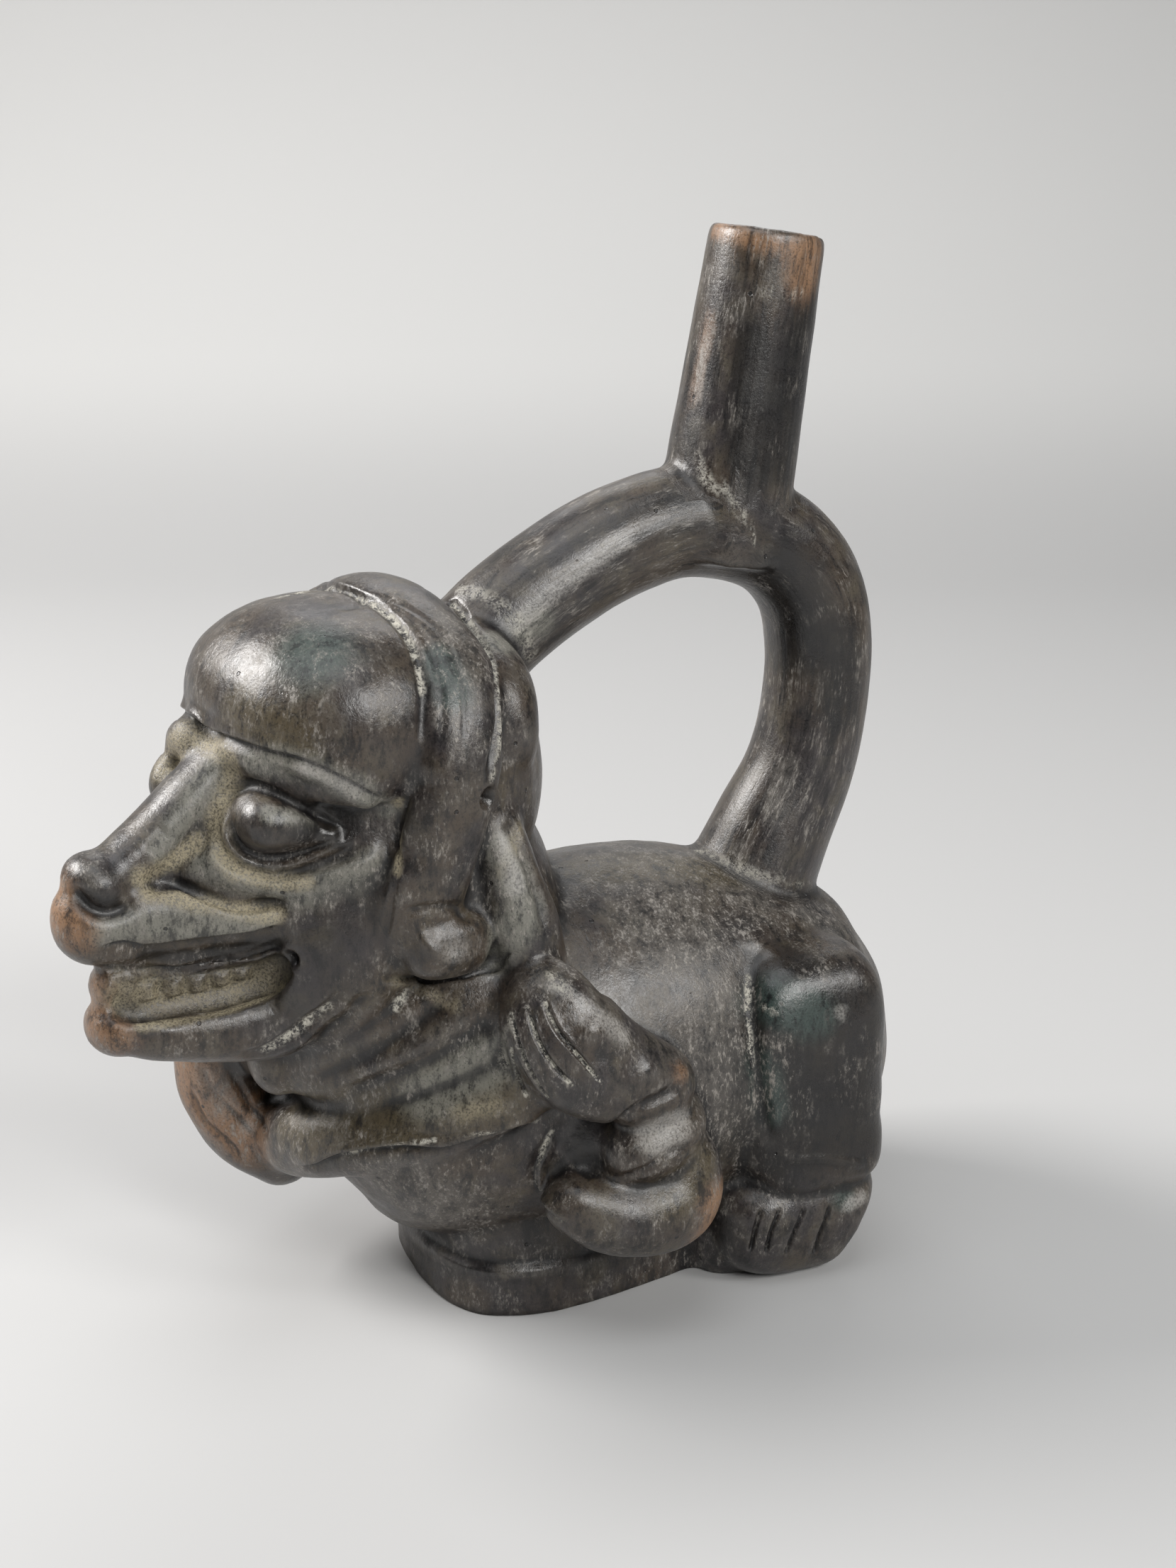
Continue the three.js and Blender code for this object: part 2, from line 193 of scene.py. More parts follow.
def limb(clay, path, heart=(0, 0, -1000), square=2.0, ends=2.0, place=as_is, sides=36, rings=60):
    """A round-ended limb along stations of x, y, z, half width and half thickness.

    Its thickness points away from heart."""
    stations = np.array(path, float)
    steps = np.linspace(0, 1, 160)
    spots = along(stations, steps)[:, :3]
    reach = np.concatenate([[0], np.cumsum(np.linalg.norm(np.diff(spots, axis=0), axis=1))])
    length = reach[-1]
    first = min(stations[0, 3:5].mean(), length / 2)
    final = min(stations[-1, 3:5].mean(), length / 2)

    def capped(gone, cap):
        short = np.clip(1 - gone / cap, 0, 1)
        return (1 - short ** ends) ** (1 / ends)

    def shape(points):
        gone = (1 - points[:, 2]) / 2 * length
        t = np.interp(gone, reach, steps)
        here = along(stations, t)
        run = unit(along(stations, np.minimum(t + 0.01, 1))[:, :3] - along(stations, np.maximum(t - 0.01,
            0))[:, :3])
        out = here[:, :3] - np.array(heart)
        out = unit(out - run * (out * run).sum(axis=1, keepdims=True))
        side = np.cross(run, out)
        spread = np.linalg.norm(points[:, :2], axis=1)
        flat = points[:, :2] / np.maximum(spread, 1e-9)[:, None]
        swell = np.where(spread > 1e-6, (np.abs(flat) ** square).sum(axis=1).clip(1e-9) ** (-1 / square), 0)
        cap = swell * capped(gone, first) * capped(length - gone, final)
        wide, thick = here[:, 3] * flat[:, 0] * cap, here[:, 4] * flat[:, 1] * cap
        return place(here[:, :3] + side * wide[:, None] + out * thick[:, None])

    add_ball(clay, shape, sides, rings)


def clipped(points, cut):
    """Points beyond the cut's plane are brought back to it."""
    spot, normal = (np.array(v, float) for v in cut)
    normal /= np.linalg.norm(normal)
    depth = np.minimum((points - spot) @ normal, 0)
    return points - depth[:, None] * normal


def add_form(clay, form, place=as_is):
    form = dict(form)
    cut = form.pop("cut", None)
    if cut:
        carry = place
        place = lambda points: carry(clipped(points, cut))
    if "path" in form:
        limb(clay, place=place, **form)
    else:
        lump(clay, place=place, **form)


# The vessel's forms

def body_forms():
    torso = dict(path=[(0, -90, 49, 27, 22), (0, -76, 50, 33, 29), (0, -56, 49, 38, 37),
        (0, -18, 51, 42, 44), (0, 14, 47, 39, 41), (0, 35, 41, 36, 36), (0, 50, 37, 35, 33)],
        ends=2.6, sides=64, rings=72)
    skirt = dict(at=(0, -14.5, 20), size=(35.2, 48.6, 22), rear=18, square=3.1)
    neck = dict(path=[(0, -48, 56, 32, 28), (0, -55, 84, 29, 26), (0, -62, 120, 27, 24)],
        heart=(0, -1000, 0))
    leg = dict(at=(24, 18.5, 49.5), size=(20.5, 18.5, 28.5), square=3.8)
    foot = dict(at=(26.5, 17.5, 14), size=(17, 21, 13.5), square=3.0, turn=(0, 12, 0),
                cut=((36, 35, 18), (-0.2, -0.85, 0.5)))
    heel = dict(at=(27, 21, 31), size=(17, 16, 10), square=4)
    instep = dict(at=(25, 5, 6.5), size=(9, 11, 9), square=2.6)
    far_leg = dict(mirrored(leg), at=(-24, 17, 49.5))
    far_foot = dict(at=(-24, 12, 14), size=(15, 17, 16), square=3.2, turn=(0, -12, 0))
    strap = dict(path=[(41, -40, 69, 8, 5), (38, -56, 60, 8.5, 6), (28, -73, 50, 8.5, 7),
        (13, -86, 43, 8.5, 7), (-4, -91, 37, 8.5, 7), (-22, -89, 32, 8, 6), (-34, -82, 32, 8, 6)],
        heart=(0, -40, 50))
    scarf = dict(path=[(-12, -98, 60, 9, 6), (2, -94, 62, 10, 6), (14, -88, 64, 11, 6),
        (26, -76, 69, 12, 6), (33, -62, 73, 12, 6), (37, -46, 76, 10, 5)], heart=(0, -50, 70))
    return [torso, skirt, neck, leg, far_leg, foot, heel, instep, far_foot, strap, scarf, mirrored(scarf)]


def arm_forms():
    heart = (0, -25, 50)
    upper_arm = dict(path=[(41, -48, 37, 5, 5), (44, -40, 32, 8, 7.5), (45.5, -30, 28.5, 9.5, 8.5),
        (45, -20, 29.5, 10.5, 9), (44, -17, 37, 8.5, 8), (42, -18, 46, 6.5, 6)], heart=heart)
    cuff = dict(at=(44, -25, 46), size=(10, 13, 9), turn=(20, 0, 0))
    sleeve = dict(at=(37.5, -35, 44), size=(6.5, 9, 10))
    hand = dict(path=[(40, -45, 88, 7, 5), (43, -47, 78, 11.5, 8), (46, -41, 68, 12.5, 9),
        (46.5, -29, 61, 10, 8), (45, -17, 55, 7.5, 7)], heart=heart, square=2.3)
    far_hand = dict(path=[(-16, -97, 74, 9, 9), (-18, -102, 55, 11, 10.5), (-19, -99, 40, 11.5, 10.5),
                          (-19, -90, 29, 12, 9), (-18, -82, 23, 9, 8)], heart=(0, -40, 50))
    far_arm = dict(path=[(-22, -92, 36, 9, 8), (-33, -78, 34, 9, 8), (-40, -58, 32, 9, 8),
        (-42, -32, 30, 9, 8)], heart=(0, -40, 50))
    return [upper_arm, cuff, sleeve, hand, far_hand, far_arm]


def stirrup_forms():
    line = [(0, -62, 128), (0, -44, 148), (0, -26, 160), (0, -11, 166.5), (0, 4, 169), (0, 23, 164),
        (0, 34, 153), (0, 37.5, 138), (0, 36.5, 122), (0, 33, 108), (0, 26, 94), (0, 18, 76)]
    flare = [0] * 9 + [0.5, 1.7, 3.7]
    path = [(*spot, TUBE_RADIUS + more, TUBE_RADIUS + more) for spot, more in zip(line, flare)]
    return [dict(path=path, heart=(1000, 0, 130), rings=90, ends=6)]


def head_forms():
    skull = dict(at=(0, -66, 122), size=(33, 30, 36))
    dome = dict(at=(0, -81.5, 138), size=(33.5, 28, 22.5), square=2.25, cut=((0, -111, 138),
        (0, 0.45, 0.89)))
    side = [(27, -79, 90, 7, 5), (30, -79, 102, 8.5, 5), (33.5, -75, 118, 9, 5), (34.5, -71, 134, 8.5, 5),
            (28, -68, 148, 8.5, 4.5), (15, -68, 156, 8.5, 4.5)]
    band = dict(path=side + [(0, -69, 159, 8.5, 4.5)] + [(-x, *rest) for x, *rest in side[::-1]],
                heart=(0, -72, 118), rings=120)
    roll = dict(at=(0, -56, 135), size=(33, 13.5, 20), square=2.2)
    face = dict(path=[(0, -60, 102, 30, 33), (0, -80, 102, 30, 35), (0, -92, 104, 25.5, 33),
        (0, -101, 106, 19.5, 29.5), (0, -107, 106, 15, 24), (0, -115, 105, 11, 14),
        (0, -124, 105, 9, 10)], heart=(0, -90, -1000), square=3)
    maxilla = dict(path=[(0, -80, 102, 22, 14), (0, -100, 101, 18, 11), (0, -115, 101, 14, 9.5),
        (0, -129, 102, 10, 9), (0, -145, 103, 7.5, 9)], heart=(0, -90, -1000), square=2.4)
    mandible = dict(path=[(0, -64, 86, 24, 16), (0, -85, 81, 23, 13), (0, -103, 76.5, 17.5, 10.5),
        (0, -119, 77, 13, 7.5), (0, -135, 79, 8, 6)], heart=(0, -90, -1000), square=2.4)
    gums = dict(path=[(0, -90, 91, 15, 8), (0, -112, 90, 10.5, 8), (0, -130, 90, 6.5, 8)],
        heart=(0, -90, -1000), square=2.4)
    lower_lip = dict(at=(0, -131, 87.5), size=(7.5, 7, 6))
    chin = dict(at=(0, -133, 79), size=(8, 6.5, 6.5))
    tie = dict(path=[(28, -61, 120, 5.5, 4.5), (32, -59, 107, 6.5, 5.5), (34, -56, 94, 8, 6),
        (34, -51, 78, 7, 5)], heart=(0, -66, 90))
    ear = dict(at=(29.5, -74, 93), size=(8, 9.5, 6.8), square=3)
    nape = dict(at=(25, -63, 97), size=(7.5, 12, 19))
    nose = dict(path=[(0, -101, 133, 6.5, 6), (0, -113, 123.5, 7.5, 6.2), (0, -126, 114.2, 7, 6.2),
        (0, -138, 107, 6, 6)], heart=(0, -100, 0), square=2.4)
    nose_tip = dict(at=(0, -135.5, 110), size=(8.2, 6.5, 6.8), turn=(35, 0, 0))
    eyeball = dict(at=(14, -103, 121), size=(7, 9, 7), turn=(0, 0, -22))
    brow = dict(path=[(28, -87, 126.5, 3, 3), (23, -95, 128, 3.5, 3.5), (16, -102, 130.5, 3.5, 3.5),
        (9.5, -106, 133, 3.5, 3.5), (3, -107, 136, 3.5, 3.5)], heart=(0, -90, 130))
    forms = [skull, dome, band, roll, face, maxilla, mandible, gums, lower_lip, chin, nose, nose_tip]
    for form in (tie, ear, nape):
        forms += [form, mirrored(form)]
    far_eyeball = dict(mirrored(eyeball), at=(-12.5, -108.5, 123), size=(7, 9, 8))
    far_brow = dict(mirrored(brow), path=[(-23, -97, 129, 3.5, 4), (-16, -105, 131, 4, 4.5),
                                          (-9.5, -109.5, 133, 5, 4.5), (-3, -109, 136, 4.5, 3.5)])
    return forms + [eyeball, far_eyeball, brow, far_brow]


def spout_axis():
    return Euler((math.radians(-SPOUT_LEAN), 0, 0)).to_matrix()


def on_spout(height=0):
    """Carries a form to the spout's leaning axis, at a height over its foot."""
    return Matrix.Translation(SPOUT_FOOT) @ spout_axis().to_4x4() @ Matrix.Translation((0, 0, height))


def add_spout(clay):
    """The spout with its rounded lip and the top of its bore, turned like a cup on its leaning axis."""
    lip = (SPOUT_TOP_RADIUS - SPOUT_BORE_RADIUS) / 2
    middle = SPOUT_BORE_RADIUS + lip
    outline = [(0, -8), (SPOUT_FOOT_RADIUS, -8), (SPOUT_FOOT_RADIUS, 0),
        (SPOUT_TOP_RADIUS, SPOUT_LENGTH - lip)]
    outline += [(middle + lip * math.cos(a), SPOUT_LENGTH - lip + lip * math.sin(a))
                for a in np.linspace(math.pi / 5, math.pi * 4 / 5, 4)]
    outline += [(SPOUT_BORE_RADIUS, SPOUT_LENGTH - lip), (SPOUT_BORE_RADIUS, SPOUT_BORE_FLOOR),
        (0, SPOUT_BORE_FLOOR)]
    shell = bmesh.new()
    verts = [shell.verts.new((x, 0, z)) for x, z in outline]
    edges = [shell.edges.new(pair) for pair in zip(verts, verts[1:])]
    bmesh.ops.spin(shell, geom=verts + edges, cent=(0, 0, 0), axis=(0, 0, 1), angle=2 * math.pi, steps=64,
                   use_merge=True)
    bmesh.ops.remove_doubles(shell, verts=shell.verts, dist=1e-4)
    bmesh.ops.recalc_face_normals(shell, faces=shell.faces)
    bmesh.ops.transform(shell, matrix=on_spout(), verts=shell.verts)
    made = bpy.data.meshes.new("spout")
    shell.to_mesh(made)
    shell.free()
    clay.from_mesh(made)


def add_base(clay):
    made = bmesh.ops.create_cone(clay, cap_ends=True, segments=72, radius1=1, radius2=1, depth=1)["verts"]
    for vert in made:
        x, y, z = vert.co
        reach = (abs(x) ** 3 + abs(y) ** 3) ** (-1 / 3)
        half = half_width(BASE_FRONT_WIDTH / 2, BASE_REAR_WIDTH / 2, y * reach)
        vert.co = (x * reach * half, BASE_CENTRE_Y + y * reach * BASE_LENGTH / 2, BASE_TOP if z > 0 else -5)


def put(thing):
    """Puts an object into the scene."""
    bpy.context.scene.collection.objects.link(thing)
    return thing


def shade_smooth(piece):
    piece.data.polygons.foreach_set("use_smooth", [True] * len(piece.data.polygons))


def built(name, clay):
    """Closes the forms into one surface object."""
    mesh = bpy.data.meshes.new(name)
    clay.to_mesh(mesh)
    clay.free()
    return put(bpy.data.objects.new(name, mesh))


def settle(piece):
    """Applies the piece's modifiers to its mesh."""
    bpy.context.view_layer.update()
    graph = bpy.context.evaluated_depsgraph_get()
    mesh = bpy.data.meshes.new_from_object(piece.evaluated_get(graph))
    old = piece.data
    piece.modifiers.clear()
    piece.data = mesh
    bpy.data.meshes.remove(old)


# Modelling strokes, laid on the clay along paths seen in the photograph

def photo_ray(pixel):
    right, up, forward = camera_axes()
    across, down = pixel[0] - PHOTO_WIDTH / 2, pixel[1] - PHOTO_HEIGHT / 2
    return (forward * LENS_PIXELS + right * across - up * down).normalized()


def smooth_path(points, step=0.7):
    """A denser curve through the points, about step mm apart."""
    points = np.array(points, float)
    if len(points) == 1:
        return points
    length = np.linalg.norm(np.diff(points[:, :3], axis=0), axis=1).sum()
    return along(points, np.linspace(0, 1, max(4, int(length / step))))


def bell(x):
    return np.clip(1 - x * x, 0, 1) ** 2


def ramp(x):
    x = np.clip(x, 0, 1)
    return x * x * (3 - 2 * x)


class Skin:
    """The clay's surface: its points, the way each faces, and where the photograph's pixels fall on it."""

    def __init__(self, piece):
        self.piece = piece
        self.points = read_points(piece.data)
        self.look()

    def look(self):
        """Takes in the surface as it is now."""
        write_points(self.piece.data, self.points)
        self.facing = fetch(self.piece.data.vertex_normals, "vector")
        bpy.context.view_layer.update()
        self.tree = BVHTree.FromObject(self.piece, bpy.context.evaluated_depsgraph_get())

    def on_photo(self, pixels):
        """Where the photograph's pixels fall on the clay; more numbers after a pixel are kept."""
        spots = []
        for pixel in pixels:
            hit = self.tree.ray_cast(Vector(CAMERA_AT), photo_ray(pixel))[0]
            if hit is not None:
                spots.append((*hit, *pixel[2:]))
        return spots

    def other_side(self, spots):
        """The same spots on the far side of the head."""
        out = []
        for x, y, z, *more in spots:
            here = in_head(np.array([[x, y, z]]), back=True)[0]
            there = in_head(np.array([[-here[0], here[1], here[2]]]))[0]
            near = self.tree.find_nearest(Vector(there))[0]
            out.append((*near, *more))
        return out

    def near(self, spots, reach):
        """The points near a path, how far each is as a share of the reach, its side and its place."""
        way = smooth_path([(*s[:3], s[3] if len(s) > 3 else reach) for s in spots])
        widest = way[:, 3].max() * 2
        low, high = way[:, :3].min(axis=0) - widest, way[:, :3].max(axis=0) + widest
        near = np.flatnonzero(((self.points > low) & (self.points < high)).all(axis=1))
        here = self.points[near]
        spot = np.linalg.norm(here[:, None] - way[None, :, :3], axis=2).argmin(axis=1)
        off = here - way[spot, :3]
        if len(way) == 1:
            away = np.linalg.norm(off, axis=1) / way[spot, 3]
            return near, away, np.zeros(len(near)), np.full(len(near), 0.5)
        last = len(way) - 1
        pace = np.gradient(way, axis=0)[spot]
        stride = np.linalg.norm(pace[:, :3], axis=1)
        run = pace[:, :3] / stride[:, None]
        ahead = np.clip((off * run).sum(axis=1) / stride, np.where(spot == 0, 0, -0.7),
            np.where(spot == last, 0, 0.7))
        off -= run * (ahead * stride)[:, None]
        reach = way[spot, 3] + pace[:, 3] * ahead
        left = unit(np.cross(self.facing[near], run))
        side = (off * left).sum(axis=1)
        return near, np.linalg.norm(off, axis=1) / reach, side, (spot + ahead) / last

    def stroke(self, spots, reach, profile, taper=0.2):
        """Moves the clay along its facing by profile(distance, side) near the path."""
        near, away, side, t = self.near(spots, reach)
        fade = ramp(t / taper) * ramp((1 - t) / taper) if taper and len(spots) > 1 else 1.0
        self.points[near] += self.facing[near] * (profile(away, side) * fade)[:, None]


def groove(depth, burr=0.0):
    """A dragged line, with burr as the height of the clay pushed up at its sides."""
    inner = 0.6 if burr else 1
    return lambda away, side: -depth * bell(away / inner) + burr * bell((away - 0.75) / 0.25)


def ridge(height):
    return lambda away, side: height * bell(away)


def trough(depth, wall=0.35):
    return lambda away, side: -depth * ramp((1 - away) / wall)


def edge(height, sharp=0.8, sink=0.0):
    """A step: the clay on the path's left stands up, the clay on its right sinks."""
    def profile(away, side):
        up = ramp(side / sharp + 0.5)
        return (height * up - sink * (1 - up)) * bell(away)
    return profile


def lay(skin, strokes):
    """Each stroke is its pixels, reach, profile, whether it is on the far side too, and taper."""
    for pixels, reach, profile, both, *more in strokes:
        spots = skin.on_photo(pixels)
        skin.stroke(spots, reach, profile, *more)
        if both:
            skin.stroke(skin.other_side(spots), reach, flipped(profile), *more)


def flipped(profile):
    return lambda away, side: profile(away, -side)


# Paths on the head, in the photograph's pixels

BROW = [(269, 1011), (290, 1021), (340, 1043), (383, 1057), (426, 1068), (469, 1086), (515, 1111),
    (554, 1129)]
BROW_BAND = [(345, 1066), (390, 1075), (432, 1088), (475, 1105), (520, 1125), (548, 1138)]
LID_LINE = [(319, 1143), (326, 1121), (351, 1107), (383, 1118), (419, 1139), (454, 1157), (494, 1179)]
EYEBALL = [(371, 1163)]
EYE_TAIL = [(376, 1163, 7), (405, 1168, 6.2), (435, 1174, 4.8), (466, 1178, 3)]
EYE_EDGE = [(330, 1148), (328, 1172), (343, 1198), (372, 1211), (415, 1208), (458, 1190), (494, 1177)]
LOWER_LID = [(321, 1143), (320, 1180), (341, 1208), (376, 1221), (415, 1217), (461, 1199), (503, 1175)]
LID_GROOVE = [(310, 1160), (313, 1199), (344, 1224), (383, 1232), (426, 1226), (486, 1208), (534, 1187)]
CHEEK_FOLD = [(292, 1190), (311, 1223), (354, 1243), (397, 1249), (461, 1236), (519, 1213), (545, 1199)]
NOSE_SIDE = [(335, 1062), (318, 1117), (290, 1167), (250, 1210), (222, 1243), (204, 1262)]
NOSTRIL = [(212, 1206), (225, 1188), (238, 1170)]
UNDER_NOSE = [(101, 1248), (112, 1264), (128, 1281), (148, 1288), (170, 1283), (196, 1266)]
LIP_TOP = [(205, 1262), (240, 1250), (268, 1257), (304, 1271), (347, 1280), (397, 1282), (415, 1270)]
LIP_EDGE = [(412, 1300), (361, 1314), (315, 1321), (254, 1329), (208, 1334), (172, 1329), (130, 1338)]
LIP_CREASE = [(232, 1243), (250, 1248), (281, 1261), (308, 1272), (331, 1280), (356, 1280), (381, 1276),
    (410, 1281)]
LIP_UNDER = [(128, 1361), (160, 1367), (196, 1370), (246, 1369), (296, 1361), (346, 1351), (385, 1337),
    (410, 1318)]
LIP_BELOW = [(395, 1322, 3), (350, 1335, 4), (300, 1344, 4.5), (240, 1352, 4.5), (190, 1355, 4)]
MOUTH = [(150, 1400, 4.5), (194, 1411, 5.8), (258, 1403, 5.8), (322, 1393, 5.4), (372, 1380, 4.4),
    (405, 1360, 2.8)]
MOUTH_FLOOR = [(160, 1452), (211, 1449), (254, 1441), (319, 1429), (361, 1416), (398, 1394)]
MOUTH_CORNER = [(410, 1354)]
TEETH = [[(207, 1382), (210, 1412)], [(243, 1379), (246, 1406)], [(278, 1374), (280, 1400)], [(311, 1369),
    (312, 1391)], [(341, 1364), (341, 1381)]]
JAW_STREAK = [(333, 1484), (361, 1487), (401, 1468), (435, 1443), (469, 1418), (497, 1386)]
FRONT_GROOVE = [(392, 843), (461, 831), (530, 854), (568, 889), (587, 927), (597, 973), (595, 1019),
    (591, 1050)]
BAND_LINES = [[(450, 842), (515, 843), (572, 868), (605, 912), (621, 965), (624, 1020), (618, 1075)],
              [(500, 838), (565, 852), (622, 893), (648, 950), (655, 1015), (648, 1085)]]
BACK_GROOVE = [(594, 829), (637, 851), (667, 885), (690, 927), (702, 973), (704, 1019), (694, 1073),
    (686, 1115)]
TEMPLE_VALLEY = [(603, 1085), (596, 1130), (589, 1180), (578, 1235)]
STRIP_FRONT = [(560, 1134), (560, 1176), (562, 1220), (549, 1291), (537, 1337)]
NOTCH = [(690, 1126)]
TIE_GROOVE = [(712, 1155), (735, 1200), (757, 1255), (770, 1320)]
EAR_FACET = [(575, 1298), (625, 1352), (678, 1344)]
EAR_TOP = [(568, 1287), (600, 1282), (640, 1280), (668, 1300)]

# Paths on the body

FINGER_LINES = [[(722, 1430), (733, 1478), (752, 1518), (774, 1550)], [(744, 1420), (760, 1470),
    (781, 1504), (806, 1530)], [(767, 1410), (784, 1450), (812, 1485), (848, 1527)], [(722, 1480),
    (730, 1515), (742, 1545)]]
THUMB_RIDGE = [(826, 1436), (850, 1467), (890, 1500), (930, 1520)]
THUMB_VALLEY = [(832, 1478), (860, 1486), (885, 1500), (905, 1516)]
WRIST_CREASE = [(831, 1586), (886, 1574), (923, 1553), (966, 1531)]
CUFF_CREASE = [(866, 1665), (914, 1650), (954, 1623), (997, 1602)]
POCKET = [(786, 1622, 6), (806, 1610, 7), (828, 1630, 6), (850, 1655, 4)]
SLEEVE_EDGE = [(779, 1594), (770, 1620), (758, 1650), (761, 1678), (776, 1708), (816, 1733)]
STRAP_EDGE = [(419, 1643), (445, 1641), (485, 1626), (564, 1615), (633, 1615), (684, 1599), (740, 1583),
    (770, 1580)]
LEG_GROOVE = [(1062, 1350), (1059, 1403), (1062, 1445), (1065, 1493), (1073, 1541), (1082, 1593),
    (1097, 1620)]
LEG_TOP = [(1068, 1352), (1080, 1326), (1110, 1305), (1150, 1300)]
FOOT_LEDGE = [(1100, 1636), (1152, 1634), (1194, 1638), (1222, 1645)]
TOE_CUTS = [[(1073, 1706), (1065, 1737), (1058, 1768)], [(1101, 1703), (1089, 1737), (1080, 1772)],
            [(1135, 1701), (1122, 1737), (1108, 1773)], [(1171, 1699), (1159, 1737), (1148, 1772)]]
SCARF_FOLDS = [[(520, 1395), (490, 1440), (440, 1480), (400, 1510)], [(640, 1400), (580, 1450),
    (500, 1500), (430, 1530)], [(700, 1430), (640, 1480), (560, 1520), (470, 1545)]]
COLLAR_EDGE = [(530, 1383), (580, 1382), (629, 1385), (683, 1374), (732, 1338)]
FAR_FINGERS = [[(283, 1500), (299, 1540), (333, 1573), (361, 1612)], [(268, 1530), (288, 1580),
    (320, 1610), (345, 1640)], [(318, 1500), (345, 1545), (368, 1580), (380, 1600)]]
BASE_EDGE = [(573, 1734), (588, 1749), (616, 1768), (668, 1789), (760, 1794), (813, 1776)]


def on_both(strokes):
    """Marks strokes that are also on the far side."""
    return [(pixels, reach, profile, True, *more) for pixels, reach, profile, *more in strokes]


def on_near(strokes):
    return [(pixels, reach, profile, False, *more) for pixels, reach, profile, *more in strokes]


def coarse_strokes():
    """Strokes laid on the first skin."""
    return on_both([
        (BROW, 3, groove(0.6)),
        (BROW_BAND, 4.5, ridge(1.3)),
        (NOSE_SIDE, 4, groove(1.2)),
        (CHEEK_FOLD, 4, ridge(1.6)),
        (LIP_TOP, 4, edge(-1.6, 2)),
        (LIP_BELOW, 4, trough(1.6)),
        (MOUTH, 5, trough(3.2), 0.08),
        (TEMPLE_VALLEY, 5, groove(1.2)),
    ]) + on_near([(POCKET, 6, trough(0.9, 0.8))]) + on_both([(UNDER_NOSE, 3.2, groove(1.6))]) + on_near([
        (THUMB_VALLEY, 4, groove(1.2)),
        (THUMB_RIDGE, 4, ridge(1.2)),
        (LEG_GROOVE, 2.6, groove(1.1)),
        (LEG_TOP, 7, ridge(1.4)),
        (BASE_EDGE, 2.4, ridge(0.8)),
        *((fold, 3.6, groove(1.6)) for fold in SCARF_FOLDS),
    ])


def fine_strokes():
    """Strokes that need the finer skin."""
    return on_both([
        (EYEBALL, 8.5, ridge(1.2)),
        (EYE_TAIL, 7, ridge(1.6), 0),
        (LID_LINE, 2, groove(1.2)),
        (EYE_EDGE, 1.8, groove(1)),
        (LOWER_LID, 1.7, ridge(1.1)),
        (LID_GROOVE, 2.6, groove(1.2)),
        (LIP_EDGE, 5, edge(-1.8, 0.9)),
        (LIP_CREASE, 2, groove(1.3)),
        (LIP_UNDER, 1.8, groove(1.2)),
        (MOUTH_CORNER, 2.4, groove(2.8)),
        (BROW, 3.4, edge(0.8, 0.6, 0.6)),
        (MOUTH_FLOOR, 2.2, ridge(1)),
        (JAW_STREAK, 2.6, groove(1)),
        (FRONT_GROOVE, 1.8, groove(0.9)),
        (BACK_GROOVE, 1.6, groove(1.4)),
        (STRIP_FRONT, 1.5, groove(0.5)),
        (NOTCH, 2.8, groove(5)),
        (TIE_GROOVE, 2.4, groove(1.2)),
        (EAR_FACET, 2.2, ridge(0.7)),
        (EAR_TOP, 2, groove(0.8)),
    ]) + on_near([(NOSTRIL, 2.6, groove(0.4))]) + on_both([(UNDER_NOSE, 1.6, groove(0.6))]) + on_near([
        (WRIST_CREASE, 2.4, groove(1.2)),
        (CUFF_CREASE, 2, groove(1)),
        (SLEEVE_EDGE, 2.6, edge(0.7, 0.8, 0.5)),
        (STRAP_EDGE, 3, edge(1, 1, 1.2)),
        (FOOT_LEDGE, 1.6, ridge(0.6)),
        (COLLAR_EDGE, 2.4, edge(-0.9, 0.8, -0.6)),
        *((line, 1.3, groove(0.9, 0.25)) for line in FINGER_LINES),
        *((line, 0.85, groove(1.3)) for line in TOE_CUTS),
        *((line, 1.6, groove(0.7)) for line in FAR_FINGERS),
    ]) + on_both([
        *((line, 1.1, groove(0.3)) for line in BAND_LINES),
        *((tooth, 2.7, ridge(1.5)) for tooth in TEETH),
    ])


def refine(piece, skin, strokes, margin=1.5):
    """Splits the faces under the strokes into four, and evens them out."""
    marked = np.zeros(len(skin.points), bool)
    for pixels, reach, _, both, *_ in strokes:
        spots = skin.on_photo(pixels)
        for way in [spots] + ([skin.other_side(spots)] if both else []):
            near, away = skin.near(way, reach)[:2]
            marked[near[away < 1 + margin / reach]] = True
    skin.look()
    mesh = piece.data
    corners = fetch(mesh.loops, "vertex_index", 1, int)
    starts = fetch(mesh.polygons, "loop_start", 1, int)
    chosen = np.flatnonzero(np.logical_and.reduceat(marked[corners], starts))
    bm = bmesh.new()
    bm.from_mesh(mesh)
    bm.faces.ensure_lookup_table()
    edges = {e for i in chosen for e in bm.faces[i].edges}
    made = bmesh.ops.subdivide_edges(bm, edges=list(edges), cuts=1, use_grid_fill=True)
    verts = list({v for v in made["geom_inner"] if isinstance(v, bmesh.types.BMVert)})
    for _ in range(2):
        bmesh.ops.smooth_vert(bm, verts=verts, factor=0.5, use_axis_x=True, use_axis_y=True,
                              use_axis_z=True)
    bm.to_mesh(mesh)
    bm.free()


def even_out(piece, grain, rounds):
    """Makes the clay one closed skin of even faces, then smooths it."""
    remesh = piece.modifiers.new("one_skin", "REMESH")
    remesh.mode = "VOXEL"
    remesh.voxel_size = grain
    smooth = piece.modifiers.new("smooth", "SMOOTH")
    smooth.factor = 0.5
    smooth.iterations = rounds
    settle(piece)


